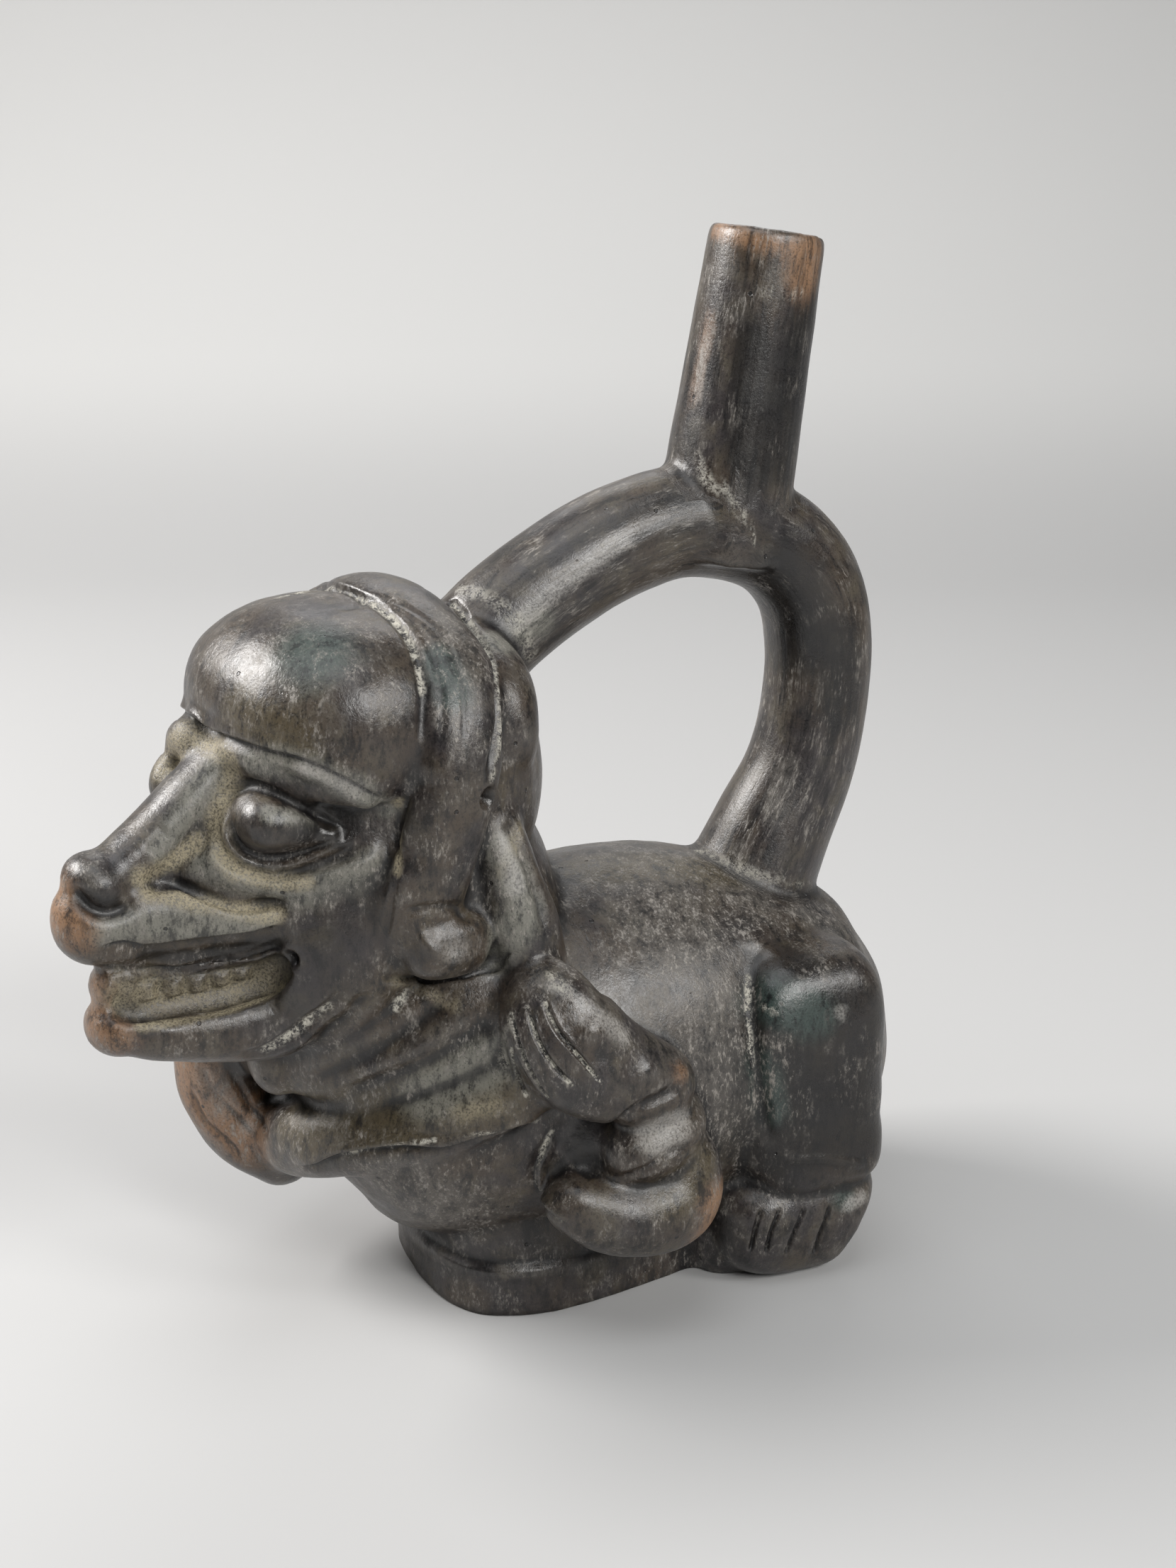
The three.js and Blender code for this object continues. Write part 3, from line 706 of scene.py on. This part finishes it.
def inside(form, wall, tips):
    """The form drawn in by the wall, and its tips drawn in too."""
    inner = dict(form)
    inner.pop("cut", None)
    if "path" not in form:
        if "rear" in form:
            inner["rear"] = form["rear"] - wall
        return dict(inner, size=[s - wall for s in form["size"]])
    path = [(x, y, z, w - wall, h - wall) for x, y, z, w, h in form["path"]]
    for end, after in ((0, 1), (-1, -2)):
        tip, near = Vector(path[end][:3]), Vector(path[after][:3])
        path[end] = (*(tip + (near - tip).normalized() * tips), *path[end][3:])
    return dict(inner, path=path)


def make_hollow():
    """The empty inside, as one closed surface that ends in the spout's bore."""
    clay = bmesh.new()
    torso, skirt, neck = body_forms()[:3]
    for form in (torso, skirt, neck):
        add_form(clay, inside(form, WALL, WALL))
    add_form(clay, inside(stirrup_forms()[0], TUBE_WALL, 0))
    add_form(clay, inside(head_forms()[0], WALL, WALL), in_head)
    low = bmesh.ops.create_cone(clay, cap_ends=True, segments=40, radius1=SPOUT_BORE_RADIUS - 0.3,
                                radius2=SPOUT_BORE_RADIUS - 0.3, depth=34)["verts"]
    bmesh.ops.transform(clay, matrix=on_spout(13), verts=low)
    hollow = built("hollow", clay)
    even_out(hollow, HOLLOW_VOXEL, 4)
    return hollow


def cut_low(piece, height):
    """Cuts the piece off flat at a height and closes it."""
    bm = bmesh.new()
    bm.from_mesh(piece.data)
    bmesh.ops.bisect_plane(bm, geom=bm.verts[:] + bm.edges[:] + bm.faces[:], plane_co=(0, 0, height),
                           plane_no=(0, 0, 1), clear_inner=True)
    bmesh.ops.holes_fill(bm, edges=[e for e in bm.edges if e.is_boundary])
    bm.to_mesh(piece.data)
    bm.free()


def lighten(piece, most):
    """Takes triangles away where the form needs few."""
    count = sum(len(p.vertices) - 2 for p in piece.data.polygons)
    thin = piece.modifiers.new("lighten", "DECIMATE")
    thin.ratio = min(1, most / count)
    settle(piece)


def hand_work(points):
    """The small swells that modelling and burnishing by hand leave, in mm."""
    chance = np.random.RandomState(4)
    swell = np.zeros(len(points))
    for wave, height in ((27, 0.13), (17, 0.1), (11, 0.07), (7, 0.04)):
        for way in unit(chance.normal(size=(5, 3))):
            swell += height / 2 * np.sin(points @ way * 2 * math.pi / wave + chance.uniform(0, 6))
    return swell * (1 - 0.7 * read_grain(points)[:, 2])


def make_vessel():
    clay = bmesh.new()
    for form in body_forms() + arm_forms() + stirrup_forms():
        add_form(clay, form)
    for form in head_forms():
        add_form(clay, form, in_head)
    add_spout(clay)
    add_base(clay)
    piece = built("blackware_vessel", clay)
    even_out(piece, FIRST_VOXEL, 7)
    skin = Skin(piece)
    lay(skin, coarse_strokes())
    skin.points += skin.facing * hand_work(skin.points)[:, None]
    skin.look()
    even_out(piece, VOXEL, 3)
    skin = Skin(piece)
    refine(piece, skin, fine_strokes())
    skin = Skin(piece)
    lay(skin, fine_strokes())
    skin.look()
    marks = read_marks(piece, skin)
    cut_low(piece, UNDERSIDE)
    hollow = make_hollow()
    lighten(hollow, HOLLOW_TRIANGLES)
    cut_low(hollow, FLOOR)
    lighten(piece, MOST_TRIANGLES)
    carve = piece.modifiers.new("hollow", "BOOLEAN")
    carve.operation, carve.object, carve.solver = "DIFFERENCE", hollow, "MANIFOLD"
    settle(piece)
    bpy.data.objects.remove(hollow)
    piece.data.materials.clear()
    keep_marks(piece, skin, marks)
    write_points(piece.data, read_points(piece.data) * MM)
    shade_smooth(piece)
    return piece


# What the surface shows, as marks from 0 to 1 on the mesh

PATCHES = {
    "warm": [([(205, 1122, 4), (165, 1160, 5.5), (130, 1190, 5)], 7), ([(82, 1262), (76, 1290),
        (100, 1312)], 8), ([(135, 1400, 7), (130, 1440, 10), (155, 1465, 9)], 10, 0.75), ([(262, 1500),
        (285, 1560), (345, 1600)], 13), ([(350, 1540)], 8), ([(1012, 1700), (1000, 1730)], 9),
        ([(960, 1512)], 4, 0.7), ([(1010, 322), (1080, 345), (1150, 352)], 3.5), ([(1135, 395),
        (1145, 360)], 8), ([(980, 560), (1000, 450)], 4, 0.6)],
    # grey patches, partly a painted sheen on lit places
    "ashen_and_sheen": [([(950, 1290), (990, 1400), (1035, 1550)], 22), ([(880, 1210), (1000, 1225), (1060, 1270)],
        14), ([(640, 880), (640, 1000)], 8), ([(725, 1200), (740, 1260)], 6), ([(560, 1660), (640, 1720)],
        16), ([(330, 1580), (420, 1600)], 7), ([(1140, 1290), (1220, 1340)], 8), ([(1090, 1150),
        (1110, 1080)], 5)],
    "dusty": [([(275, 1040), (296, 1050), (325, 1075), (318, 1120), (308, 1160), (312, 1195),
        (330, 1228)], 4), ([(210, 1262), (260, 1268), (320, 1283), (390, 1292)], 3.2), ([(200, 1235),
        (240, 1215), (280, 1190)], 3.5), ([(330, 1225), (375, 1242), (430, 1246)], 3), ([(170, 1400),
        (258, 1403), (390, 1375)], 7, 0.75), ([(199, 1448), (310, 1430), (399, 1392)], 2.2),
        ([(640, 1420), (600, 1400), (560, 1386)], 3, 0.6), ([(735, 1170), (705, 1230)], 3, 0.6),
        ([(560, 1130), (562, 1230)], 2), ([(230, 1085), (254, 1040)], 6), ([(700, 1560), (650, 1570)],
        4, 0.6)],
    # teal-grey patches, partly a painted sheen
    "cool_and_sheen": [([(355, 1070, 5), (430, 1085, 6), (500, 1113, 5), (548, 1138, 4)], 6), ([(290, 1215),
        (340, 1240), (420, 1258), (520, 1225)], 6), ([(150, 1315, 5), (220, 1305, 6), (300, 1305, 5),
        (380, 1300, 3)], 6), ([(310, 1080), (270, 1140), (230, 1200)], 5), ([(380, 1148), (440, 1160)],
        3), ([(690, 1345), (735, 1300)], 7), ([(700, 1200), (750, 1280)], 6), ([(760, 880), (700, 905)],
        6), ([(600, 1540), (700, 1490)], 9)],
    "green": [([(440, 920)], 13), ([(1080, 1410), (1150, 1430)], 9), ([(1075, 1500), (1090, 1570)], 6),
        ([(1190, 1690)], 5), ([(620, 930), (640, 980)], 6)],
    "olive": [([(420, 1585, 14), (560, 1570, 14), (700, 1540, 12)], 14), ([(836, 1224), (1010, 1230)],
        10), ([(420, 1060), (340, 1000)], 9), ([(950, 1690), (990, 1640)], 8)],
    # near-black patches, partly painted shade in recesses and on the sides turned from the lamps
    "dark_and_shade": [([(1130, 1400, 20), (1130, 1480, 24), (1130, 1590, 26)], 24), ([(1190, 1420)], 16, 0.8),
        ([(1230, 1480), (1220, 1600)], 16), ([(1110, 640), (1125, 520), (1140, 470)], 13), ([(1050, 640),
        (1065, 480)], 7), ([(1095, 810), (1130, 900)], 16), ([(125, 1270), (150, 1278)], 5),
        ([(430, 1175), (480, 1180)], 5), ([(1180, 900), (1190, 1000)], 10), ([(430, 1140), (500, 1165)],
        4), ([(408, 1356)], 3), ([(1080, 570), (1060, 660)], 9), ([(690, 1126)], 2.5), ([(820, 1625)], 6),
        ([(200, 1350), (300, 1345), (390, 1328)], 3), ([(490, 1280), (460, 1380), (400, 1440)], 13, 0.5),
        ([(570, 1180), (590, 1080)], 8, 0.5), ([(900, 1190), (800, 1290)], 9, 0.5), ([(330, 1500),
        (360, 1530)], 4)],
    "whitened": [([(392, 843), (461, 833), (530, 856), (568, 891), (585, 929), (594, 975)], 2.0),
        ([(600, 830), (640, 855), (670, 888), (692, 930), (704, 980), (706, 1040), (694, 1100)], 1.5),
        ([(650, 830), (700, 850), (735, 885), (750, 925)], 4, 0.85), ([(985, 650), (1000, 680),
        (1030, 700), (1052, 735)], 3, 0.9), ([(1060, 745), (1064, 770)], 1.5), ([(985, 1200),
        (1060, 1230), (1130, 1245)], 3, 0.8), ([(375, 1478), (420, 1450), (462, 1420)], 2.6),
        ([(779, 1594), (764, 1630), (761, 1678), (790, 1722)], 1.2), ([(485, 1626), (564, 1615),
        (684, 1599), (760, 1582)], 1.2), ([(1054, 1380), (1055, 1440), (1060, 1500)], 1.6), ([(775, 1375),
        (800, 1400)], 3, 0.9), ([(560, 1420), (568, 1400)], 2.5), ([(720, 1440), (712, 1500)], 3, 0.8),
        ([(1076, 1420), (1096, 1428)], 2, 0.9), ([(1080, 410), (1130, 415)],
        3.5, 0.75)] + [(line, 0.8, 1.4) for line in FINGER_LINES],
    # painted highlight: patches where highlights fall
    "painted_highlight": [([(925, 1600), (950, 1590)], 7), ([(640, 1340)], 5, 0.6), ([(1187, 1428)], 3.5, 0.7),
        ([(730, 880), (800, 820), (880, 760)], 4, 0.7), ([(995, 480), (985, 560)], 3, 0.6), ([(712, 1190),
        (728, 1250)], 4, 0.8), ([(1195, 1700), (1215, 1690)], 3, 0.8), ([(850, 1440), (880, 1460)],
        4, 0.7), ([(780, 1390), (830, 1420)], 3, 0.6), ([(350, 1590)], 4, 0.6), ([(430, 1085),
        (500, 1113)], 4, 0.7), ([(290, 1520), (315, 1560)], 7, 0.5), ([(930, 1590)], 4)],
}


def round_mean(values, ends, count):
    """Each point's mean of its neighbours' values."""
    total = np.zeros_like(values)
    for a, b in ((0, 1), (1, 0)):
        for k in range(values.shape[1]):
            total[:, k] += np.bincount(ends[:, a], weights=values[ends[:, b], k], minlength=len(values))
    return total / count[:, None]


def read_marks(piece, skin):
    """Crevices, worn heights, broad hollows for painted shade, broad rises for a painted highlight, painted
    patches and the way the burnishing runs.
    """
    ends = fetch(piece.data.edges, "vertices", 2, int)
    count = np.maximum(np.bincount(ends.ravel(), minlength=len(skin.points)), 1)
    level, depths = skin.points, []
    for rounds in (5, 40):
        for _ in range(rounds):
            level = round_mean(level, ends, count)
        depths.append(((level - skin.points) * skin.facing).sum(axis=1))
    fine, broad = depths
    # the broad hollows are marked for painted shade and the broad rises for a painted highlight
    marks = {"crevice": fine / 0.22, "wear": -fine / 0.16, "sunken_shade": broad / 0.9, "raised_highlight": -broad / 1.2}
    marks = {name: np.clip(values, 0, 1) for name, values in marks.items()}
    for name, patches in PATCHES.items():
        strength = np.zeros(len(skin.points))
        for pixels, reach, *share in patches:
            spots = skin.on_photo(pixels)
            if spots:
                near, away = skin.near(spots, reach)[:2]
                np.maximum.at(strength, near, bell(away * 0.85) * (share[0] if share else 1))
        marks[name] = strength
    marks["grain"] = read_grain(skin.points)
    return marks


def read_grain(points):
    """For the stirrup and the spout: mm along, mm around, and how much of a tube the place is."""
    def around(across, up, radius):
        """Runs from one side of the tube to the other without a seam."""
        angle = np.arctan2(across, up)
        return (np.abs(angle) + 0.3 * np.sin(angle)) * radius

    line = smooth_path([s[:3] for s in stirrup_forms()[0]["path"]], 1.0)
    run = unit(np.gradient(line, axis=0))
    gone = np.concatenate([[0], np.cumsum(np.linalg.norm(np.diff(line, axis=0), axis=1))])
    grain = np.zeros((len(points), 3))
    high = np.flatnonzero(points[:, 2] > 70)
    here = points[high]
    spot = np.concatenate([np.linalg.norm(part[:, None] - line[None], axis=2).argmin(axis=1)
                           for part in np.array_split(here, max(1, len(here) // 20000))])
    off = here - line[spot]
    lifted = off[:, 1] * run[spot, 2] - off[:, 2] * run[spot, 1]
    away = np.hypot(off[:, 0], lifted)
    grain[high, 0] = gone[spot]
    grain[high, 1] = around(off[:, 0], lifted, TUBE_RADIUS)
    grain[high, 2] = ramp((TUBE_RADIUS + 5 - away) / 3)
    axis = np.array(spout_axis() @ Vector((0, 0, 1)))
    off = points - np.array(SPOUT_FOOT)
    rise = off @ axis
    flat = off - rise[:, None] * axis
    spout = (rise > 6) & (np.linalg.norm(flat, axis=1) < SPOUT_FOOT_RADIUS + 3)
    grain[spout, 0] = 400 + rise[spout]
    grain[spout, 1] = around(flat[spout, 0], flat[spout, 1], SPOUT_FOOT_RADIUS)
    grain[spout, 2] = 1
    return grain


def keep_marks(piece, skin, marks):
    """Writes the marks to the finished mesh from the nearest point of the fine one."""
    tree = KDTree(len(skin.points))
    for i, point in enumerate(skin.points):
        tree.insert(point, i)
    tree.balance()
    nearest = np.array([tree.find(p)[1] for p in read_points(piece.data)])
    for name, values in marks.items():
        if values.ndim == 1:
            piece.data.attributes.new(name, "FLOAT", "POINT").data.foreach_set("value", values[nearest])
        else:
            spread = piece.data.attributes.new(name, "FLOAT_VECTOR", "POINT")
            spread.data.foreach_set("vector", values[nearest].ravel())


# Materials

class Shading:
    """Short ways to add nodes to a material."""

    def __init__(self, name):
        self.material = bpy.data.materials.new(name)
        self.material.use_nodes = True
        self.nodes = self.material.node_tree.nodes
        self.shader = self.nodes["Principled BSDF"]
        self.object = self.add("TexCoord").outputs["Object"]
        self.spot = self.maths("MULTIPLY", self.object, (1000, 1000, 1000), kind="VectorMath")

    def feed(self, socket, value):
        if isinstance(value, bpy.types.NodeSocket):
            self.material.node_tree.links.new(value, socket)
        elif value is not None:
            socket.default_value = value

    def add(self, kind, inputs=(), **settings):
        node = self.nodes.new("ShaderNode" + kind)
        for name, value in settings.items():
            setattr(node, name, value)
        for name, value in dict(inputs).items():
            self.feed(node.inputs[name], value)
        return node

    def maths(self, operation, a, b=None, kind="Math"):
        return self.add(kind, {0: a, 1: b}, operation=operation).outputs[0]

    def mark(self, name):
        return self.add("Attribute", attribute_name=name).outputs["Fac"]

    def noise(self, vector, size, detail=3.0, rough=0.5, swirl=0.0):
        """Noise from 0 to 1 with features about size mm across."""
        return self.add("TexNoise", {"Vector": vector, "Scale": 1 / size, "Detail": detail,
                                     "Roughness": rough, "Distortion": swirl}).outputs["Fac"]

    def stretch(self, vector, shares):
        return self.maths("MULTIPLY", vector, shares, kind="VectorMath")

    def between(self, value, low, high, out_low=0.0, out_high=1.0):
        ends = {"Value": value, "From Min": low, "From Max": high, "To Min": out_low, "To Max": out_high}
        return self.add("MapRange", ends, interpolation_type="SMOOTHSTEP").outputs["Result"]

    def mix(self, share, a, b):
        return self.add("Mix", {"Factor": share, 6: a, 7: b}, data_type="RGBA").outputs[2]

    def tint(self, share, tone, amount=1):
        """Lays a tone over the colour so far, where share is up to 1."""
        share = self.times(share, amount) if amount < 1 else share
        self.colour = self.mix(share, self.colour, tone)

    def times(self, a, *more):
        for b in more:
            a = self.maths("MULTIPLY", a, b)
        return a

    def plus(self, a, *more):
        for b in more:
            a = self.maths("ADD", a, b)
        return a

    def most(self, a, b):
        return self.maths("MAXIMUM", a, b)


BROWN = (0.050, 0.036, 0.024, 1)
PURPLE = (0.026, 0.0215, 0.022, 1)
# near black: the blackened clay's darkest tone, and also the painted shade in hollows and creases
SOOT_AND_SHADE = (0.003, 0.0027, 0.003, 1)
GREEN = (0.036, 0.056, 0.050, 1)
TEAL_GREY = (0.172, 0.168, 0.142, 1)
OLIVE = (0.074, 0.058, 0.031, 1)
TAN = (0.250, 0.140, 0.074, 1)
DUST = (0.330, 0.285, 0.190, 1)
LIME = (0.450, 0.430, 0.370, 1)
# grey for rubbed places and mottling, and also for painted sheen and a painted highlight
GRAPHITE_AND_SHEEN = (0.104, 0.095, 0.084, 1)
PALE = (0.300, 0.275, 0.245, 1)
# pale grey for the painted highlight
HIGHLIGHT_SILVER = (0.400, 0.385, 0.360, 1)


def clay_material():
    s = Shading("burnished_blackware")
    spot, grain = s.spot, s.add("Attribute", attribute_name="grain").outputs["Vector"]
    tube = s.add("SeparateXYZ", {"Vector": grain}).outputs["Z"]
    crevice, wear = s.mark("crevice"), s.mark("wear")

    large = s.noise(spot, 22, 3, 0.55, 0.6)
    patchy = s.noise(spot, 7, 5, 0.6, 0.4)
    speck = s.noise(spot, 1.4, 4, 0.65)
    gritty = s.noise(spot, 0.5, 3, 0.6)
    streak = s.noise(s.stretch(grain, (0.05, 1.1, 0)), 1.4, 4, 0.6)
    wide_streak = s.noise(s.stretch(grain, (0.03, 0.35, 0)), 1.4, 3, 0.5)
    rubbed = s.noise(s.stretch(spot, (0.35, 0.35, 0.12)), 0.7, 4, 0.6, 1.2)

    def patch(name, share, low, high):
        """A painted patch with a broken edge."""
        return s.between(s.plus(s.mark(name), s.times(patchy, share), s.times(gritty, 0.3)), low, high)

    s.colour = s.mix(s.between(large, 0.36, 0.64), BROWN, PURPLE)
    s.tint(s.between(patchy, 0.45, 0.75), OLIVE, 0.6)
    s.tint(s.between(s.noise(spot, 13, 4, 0.6, 0.5), 0.5, 0.3), SOOT_AND_SHADE, 0.5)
    # grey patches: a rubbed, duller surface, and partly a painted sheen where a lamp's broad highlight
    # falls
    ashen_and_sheen = patch("ashen_and_sheen", 0.6, 0.6, 1.5)
    s.tint(ashen_and_sheen, GRAPHITE_AND_SHEEN, 0.6)

    # ridges rubbed paler, broad raised forms painted paler as a painted highlight, and patches of other
    # tones, some of them painted shade
    # worn ridges are real rubbing; the paler broad rises are a painted highlight
    worn_and_lit_pale = s.most(s.times(s.mark("raised_highlight"), 0.5), s.times(wear, 0.45))
    s.tint(s.times(worn_and_lit_pale, s.between(patchy, 0.3, 0.65)), GRAPHITE_AND_SHEEN)
    s.tint(patch("olive", 0.5, 0.6, 1.3), OLIVE, 0.75)
    # teal-grey patches: duller, less burnished clay, and partly a painted bluish sheen on lit ridges and
    # the collar folds
    cool_and_sheen = patch("cool_and_sheen", 0.6, 0.55, 1.4)
    s.tint(cool_and_sheen, TEAL_GREY, 0.85)
    warm = patch("warm", 0.5, 0.5, 1.5)
    s.tint(warm, TAN, 0.95)
    # near-black patches: darker clay in places, and painted shade under the nose and lip, in the mouth
    # corner, notch and pocket, and on the sides turned from the lamps
    dark_and_shade = patch("dark_and_shade", 0.5, 0.6, 1.3)
    s.tint(dark_and_shade, SOOT_AND_SHADE, 0.8)
    s.tint(patch("green", 0.4, 0.5, 1.3), GREEN, 0.8)
    # painted shade: broad hollows and narrow creases are darkened towards near black
    s.tint(s.mark("sunken_shade"), SOOT_AND_SHADE, 0.5)
    s.tint(s.between(crevice, 0.1, 0.8), SOOT_AND_SHADE, 0.8)

    # burnishing marks
    lines = s.mix(tube, rubbed, streak)
    s.tint(s.between(lines, 0.5, 0.25), SOOT_AND_SHADE, 0.65)
    bands = s.times(s.between(wide_streak, 0.5, 0.3), tube)
    s.tint(bands, SOOT_AND_SHADE, 0.7)
    s.tint(s.between(gritty, 0.48, 0.3), SOOT_AND_SHADE, 0.6)

    # mottling, and pale flecks in clusters, drawn out along the stirrup and the spout, then a painted
    # highlight on lit places
    drawn = s.mix(tube, s.stretch(spot, (0.85, 0.85, 0.4)), s.stretch(grain, (0.22, 1.0, 0)))
    mottle, fleck = s.noise(drawn, 2.6, 6, 0.72), s.noise(drawn, 0.55, 4, 0.7)
    cluster = s.plus(s.noise(spot, 10, 5, 0.7), s.times(ashen_and_sheen, 0.2), s.times(s.mark("painted_highlight"), 0.12),
                     s.times(cool_and_sheen, 0.08), s.times(dark_and_shade, -0.05))
    s.tint(s.between(mottle, 0.5, 0.34), SOOT_AND_SHADE, 0.8)
    s.tint(s.times(s.between(mottle, 0.5, 0.68), s.between(cluster, 0.38, 0.62)), GRAPHITE_AND_SHEEN, 0.6)
    worn = s.times(s.between(s.plus(s.times(fleck, 0.6), s.times(mottle, 0.4)), 0.5, 0.64),
        s.between(cluster, 0.42, 0.66))
    s.tint(worn, PALE, 0.75)
    # painted highlight: pale silver-grey laid where highlights fall on the cuff, hand, leg, tube and spout
    painted_highlight = s.times(patch("painted_highlight", 0.3, 0.5, 1.2), s.between(gritty, 0.3, 0.6, 0.4, 1.0))
    s.tint(painted_highlight, HIGHLIGHT_SILVER, 0.6)

    # dust in the hollows, and lime left in the grooves
    loose = s.plus(s.mark("dusty"), s.times(patchy, 0.7), s.times(crevice, 0.1))
    dust = s.times(s.between(loose, 0.5, 1.5), s.between(gritty, 0.32, 0.62, 0.25, 1.0), 0.9)
    s.tint(dust, DUST)
    flakes = s.between(s.plus(s.noise(spot, 2.0, 5, 0.7), s.times(gritty, 0.35)), 0.58, 0.8)
    lime = s.times(s.between(s.plus(s.mark("whitened"), s.times(crevice, 0.15)), 0.4, 1.2), flakes)
    s.tint(lime, LIME)

    # small pits
    cells = s.add("TexVoronoi", {"Vector": spot, "Scale": 0.28})
    chosen = s.between(s.add("SeparateColor", {"Color": cells.outputs["Color"]}).outputs[0],
        0.94, 0.95)
    pit = s.times(s.between(cells.outputs["Distance"], 0.16, 0.1), chosen)
    s.tint(pit, SOOT_AND_SHADE, 0.85)

    rough = s.plus(s.between(patchy, 0.3, 0.7, 0.25, 0.36), s.times(s.between(lines, 0.3, 0.7), 0.05),
        s.times(s.between(gritty, 0.35, 0.65), 0.07), s.times(cool_and_sheen, 0.06), s.times(warm, 0.06),
        s.times(ashen_and_sheen, 0.06), s.times(dark_and_shade, -0.04), s.times(worn, 0.1), s.times(dust, 0.3),
        s.times(lime, 0.4), s.times(crevice, 0.15), s.times(s.mark("painted_highlight"), -0.04))
    swell = s.plus(s.times(s.mix(tube, s.noise(spot, 6, 2), wide_streak), 0.8), s.times(lines, 0.3),
                   s.times(gritty, 0.22), s.times(speck, 0.30), s.times(pit, -1.6),
                   s.times(lime, 0.3), s.times(dust, s.times(speck, 0.6)), s.times(worn, 0.15))
    bump = s.add("Bump", {"Height": swell, "Strength": 0.6, "Distance": 0.0004})
    s.feed(s.shader.inputs["Base Color"], s.colour)
    s.feed(s.shader.inputs["Roughness"], rough)
    s.feed(s.shader.inputs["Normal"], bump.outputs["Normal"])
    s.shader.inputs["IOR"].default_value = 1.6
    return s.material


# The studio: a pale sweep, soft boxes at the left and the right, one overhead and one behind

SWEEP_FRONT, SWEEP_BACK, SWEEP_BEND, SWEEP_HIGH = 1.6, 0.75, 0.45, 2.2
SWEEP_HALF_WIDTH = 2.5


def make_sweep():
    """A floor that bends up into the wall behind, square to the camera."""
    facing = camera_axes()[2].to_2d().normalized()
    bm = bmesh.new()
    grid = bmesh.ops.create_grid(bm, x_segments=8, y_segments=140, size=1)["verts"]
    length = SWEEP_BACK + SWEEP_FRONT + math.pi / 2 * SWEEP_BEND + SWEEP_HIGH
    for vert in grid:
        along_floor = (vert.co.y + 1) / 2 * length - SWEEP_FRONT
        beyond = along_floor - SWEEP_BACK
        turned = min(max(beyond / SWEEP_BEND, 0), math.pi / 2)
        deep = min(along_floor, SWEEP_BACK) + SWEEP_BEND * math.sin(turned)
        high = SWEEP_BEND * (1 - math.cos(turned)) + max(beyond - math.pi / 2 * SWEEP_BEND, 0)
        wide = vert.co.x * SWEEP_HALF_WIDTH
        vert.co = (facing.x * deep + facing.y * wide, facing.y * deep - facing.x * wide, high)
    bmesh.ops.recalc_face_normals(bm, faces=bm.faces)
    sweep = built("paper_sweep", bm)
    shade_smooth(sweep)
    s = Shading("pale_paper")
    # painted light: the wall is painted paler low down and darker towards its top, as the lamps' light
    # falls off, and the floor a darker grey than the low wall
    height = s.add("SeparateXYZ", {"Vector": s.object}).outputs["Z"]
    wall = s.mix(s.between(height, 0.15, 0.9), (0.56, 0.56, 0.555, 1), (0.31, 0.31, 0.312, 1))
    s.feed(s.shader.inputs["Base Color"], s.mix(s.between(height, 0, 0.1), (0.44, 0.44, 0.44, 1), wall))
    s.shader.inputs["Roughness"].default_value = 0.9
    sweep.data.materials.append(s.material)


def make_light(name, way, rise, distance, size, power, colour=(1, 1, 1)):
    """A soft box seen from the vessel at way degrees round from the front and rise degrees up."""
    way, rise = math.radians(way), math.radians(rise)
    target = Vector((0, -0.03, 0.1))
    back = Vector((math.sin(way) * math.cos(rise), -math.cos(way) * math.cos(rise), math.sin(rise)))
    data = bpy.data.lights.new(name, "AREA")
    data.shape = "RECTANGLE"
    data.size, data.size_y = size
    data.energy = power
    data.color = colour
    lamp = bpy.data.objects.new(name, data)
    lamp.location = target + back * distance
    lamp.rotation_euler = (-back).to_track_quat("-Z", "Y").to_euler()
    put(lamp)


make_camera()
vessel = make_vessel()
vessel.data.materials.append(clay_material())
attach(vessel, "root")
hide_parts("vessel")
make_sweep()
make_light("left_box", -33, 34, 1.25, (0.6, 0.45), 22, (1, 0.975, 0.95))
make_light("right_box", 97, 32, 1.25, (0.3, 0.45), 9, (1, 0.99, 0.97))
make_light("side_box", 128, 32, 1.25, (0.25, 0.35), 5, (1, 0.99, 0.97))
make_light("overhead", 40, 74, 1.3, (0.9, 0.8), 6, (0.96, 0.98, 1))
make_light("behind", 246, 46, 1.3, (1.0, 0.5), 4.5)
world = bpy.data.worlds.new("studio")
world.use_nodes = True
world.node_tree.nodes["Background"].inputs["Color"].default_value = (0.9, 0.95, 1.0, 1)
world.node_tree.nodes["Background"].inputs["Strength"].default_value = 0.06
bpy.context.scene.world = world
bpy.context.scene.view_settings.view_transform = "Standard"
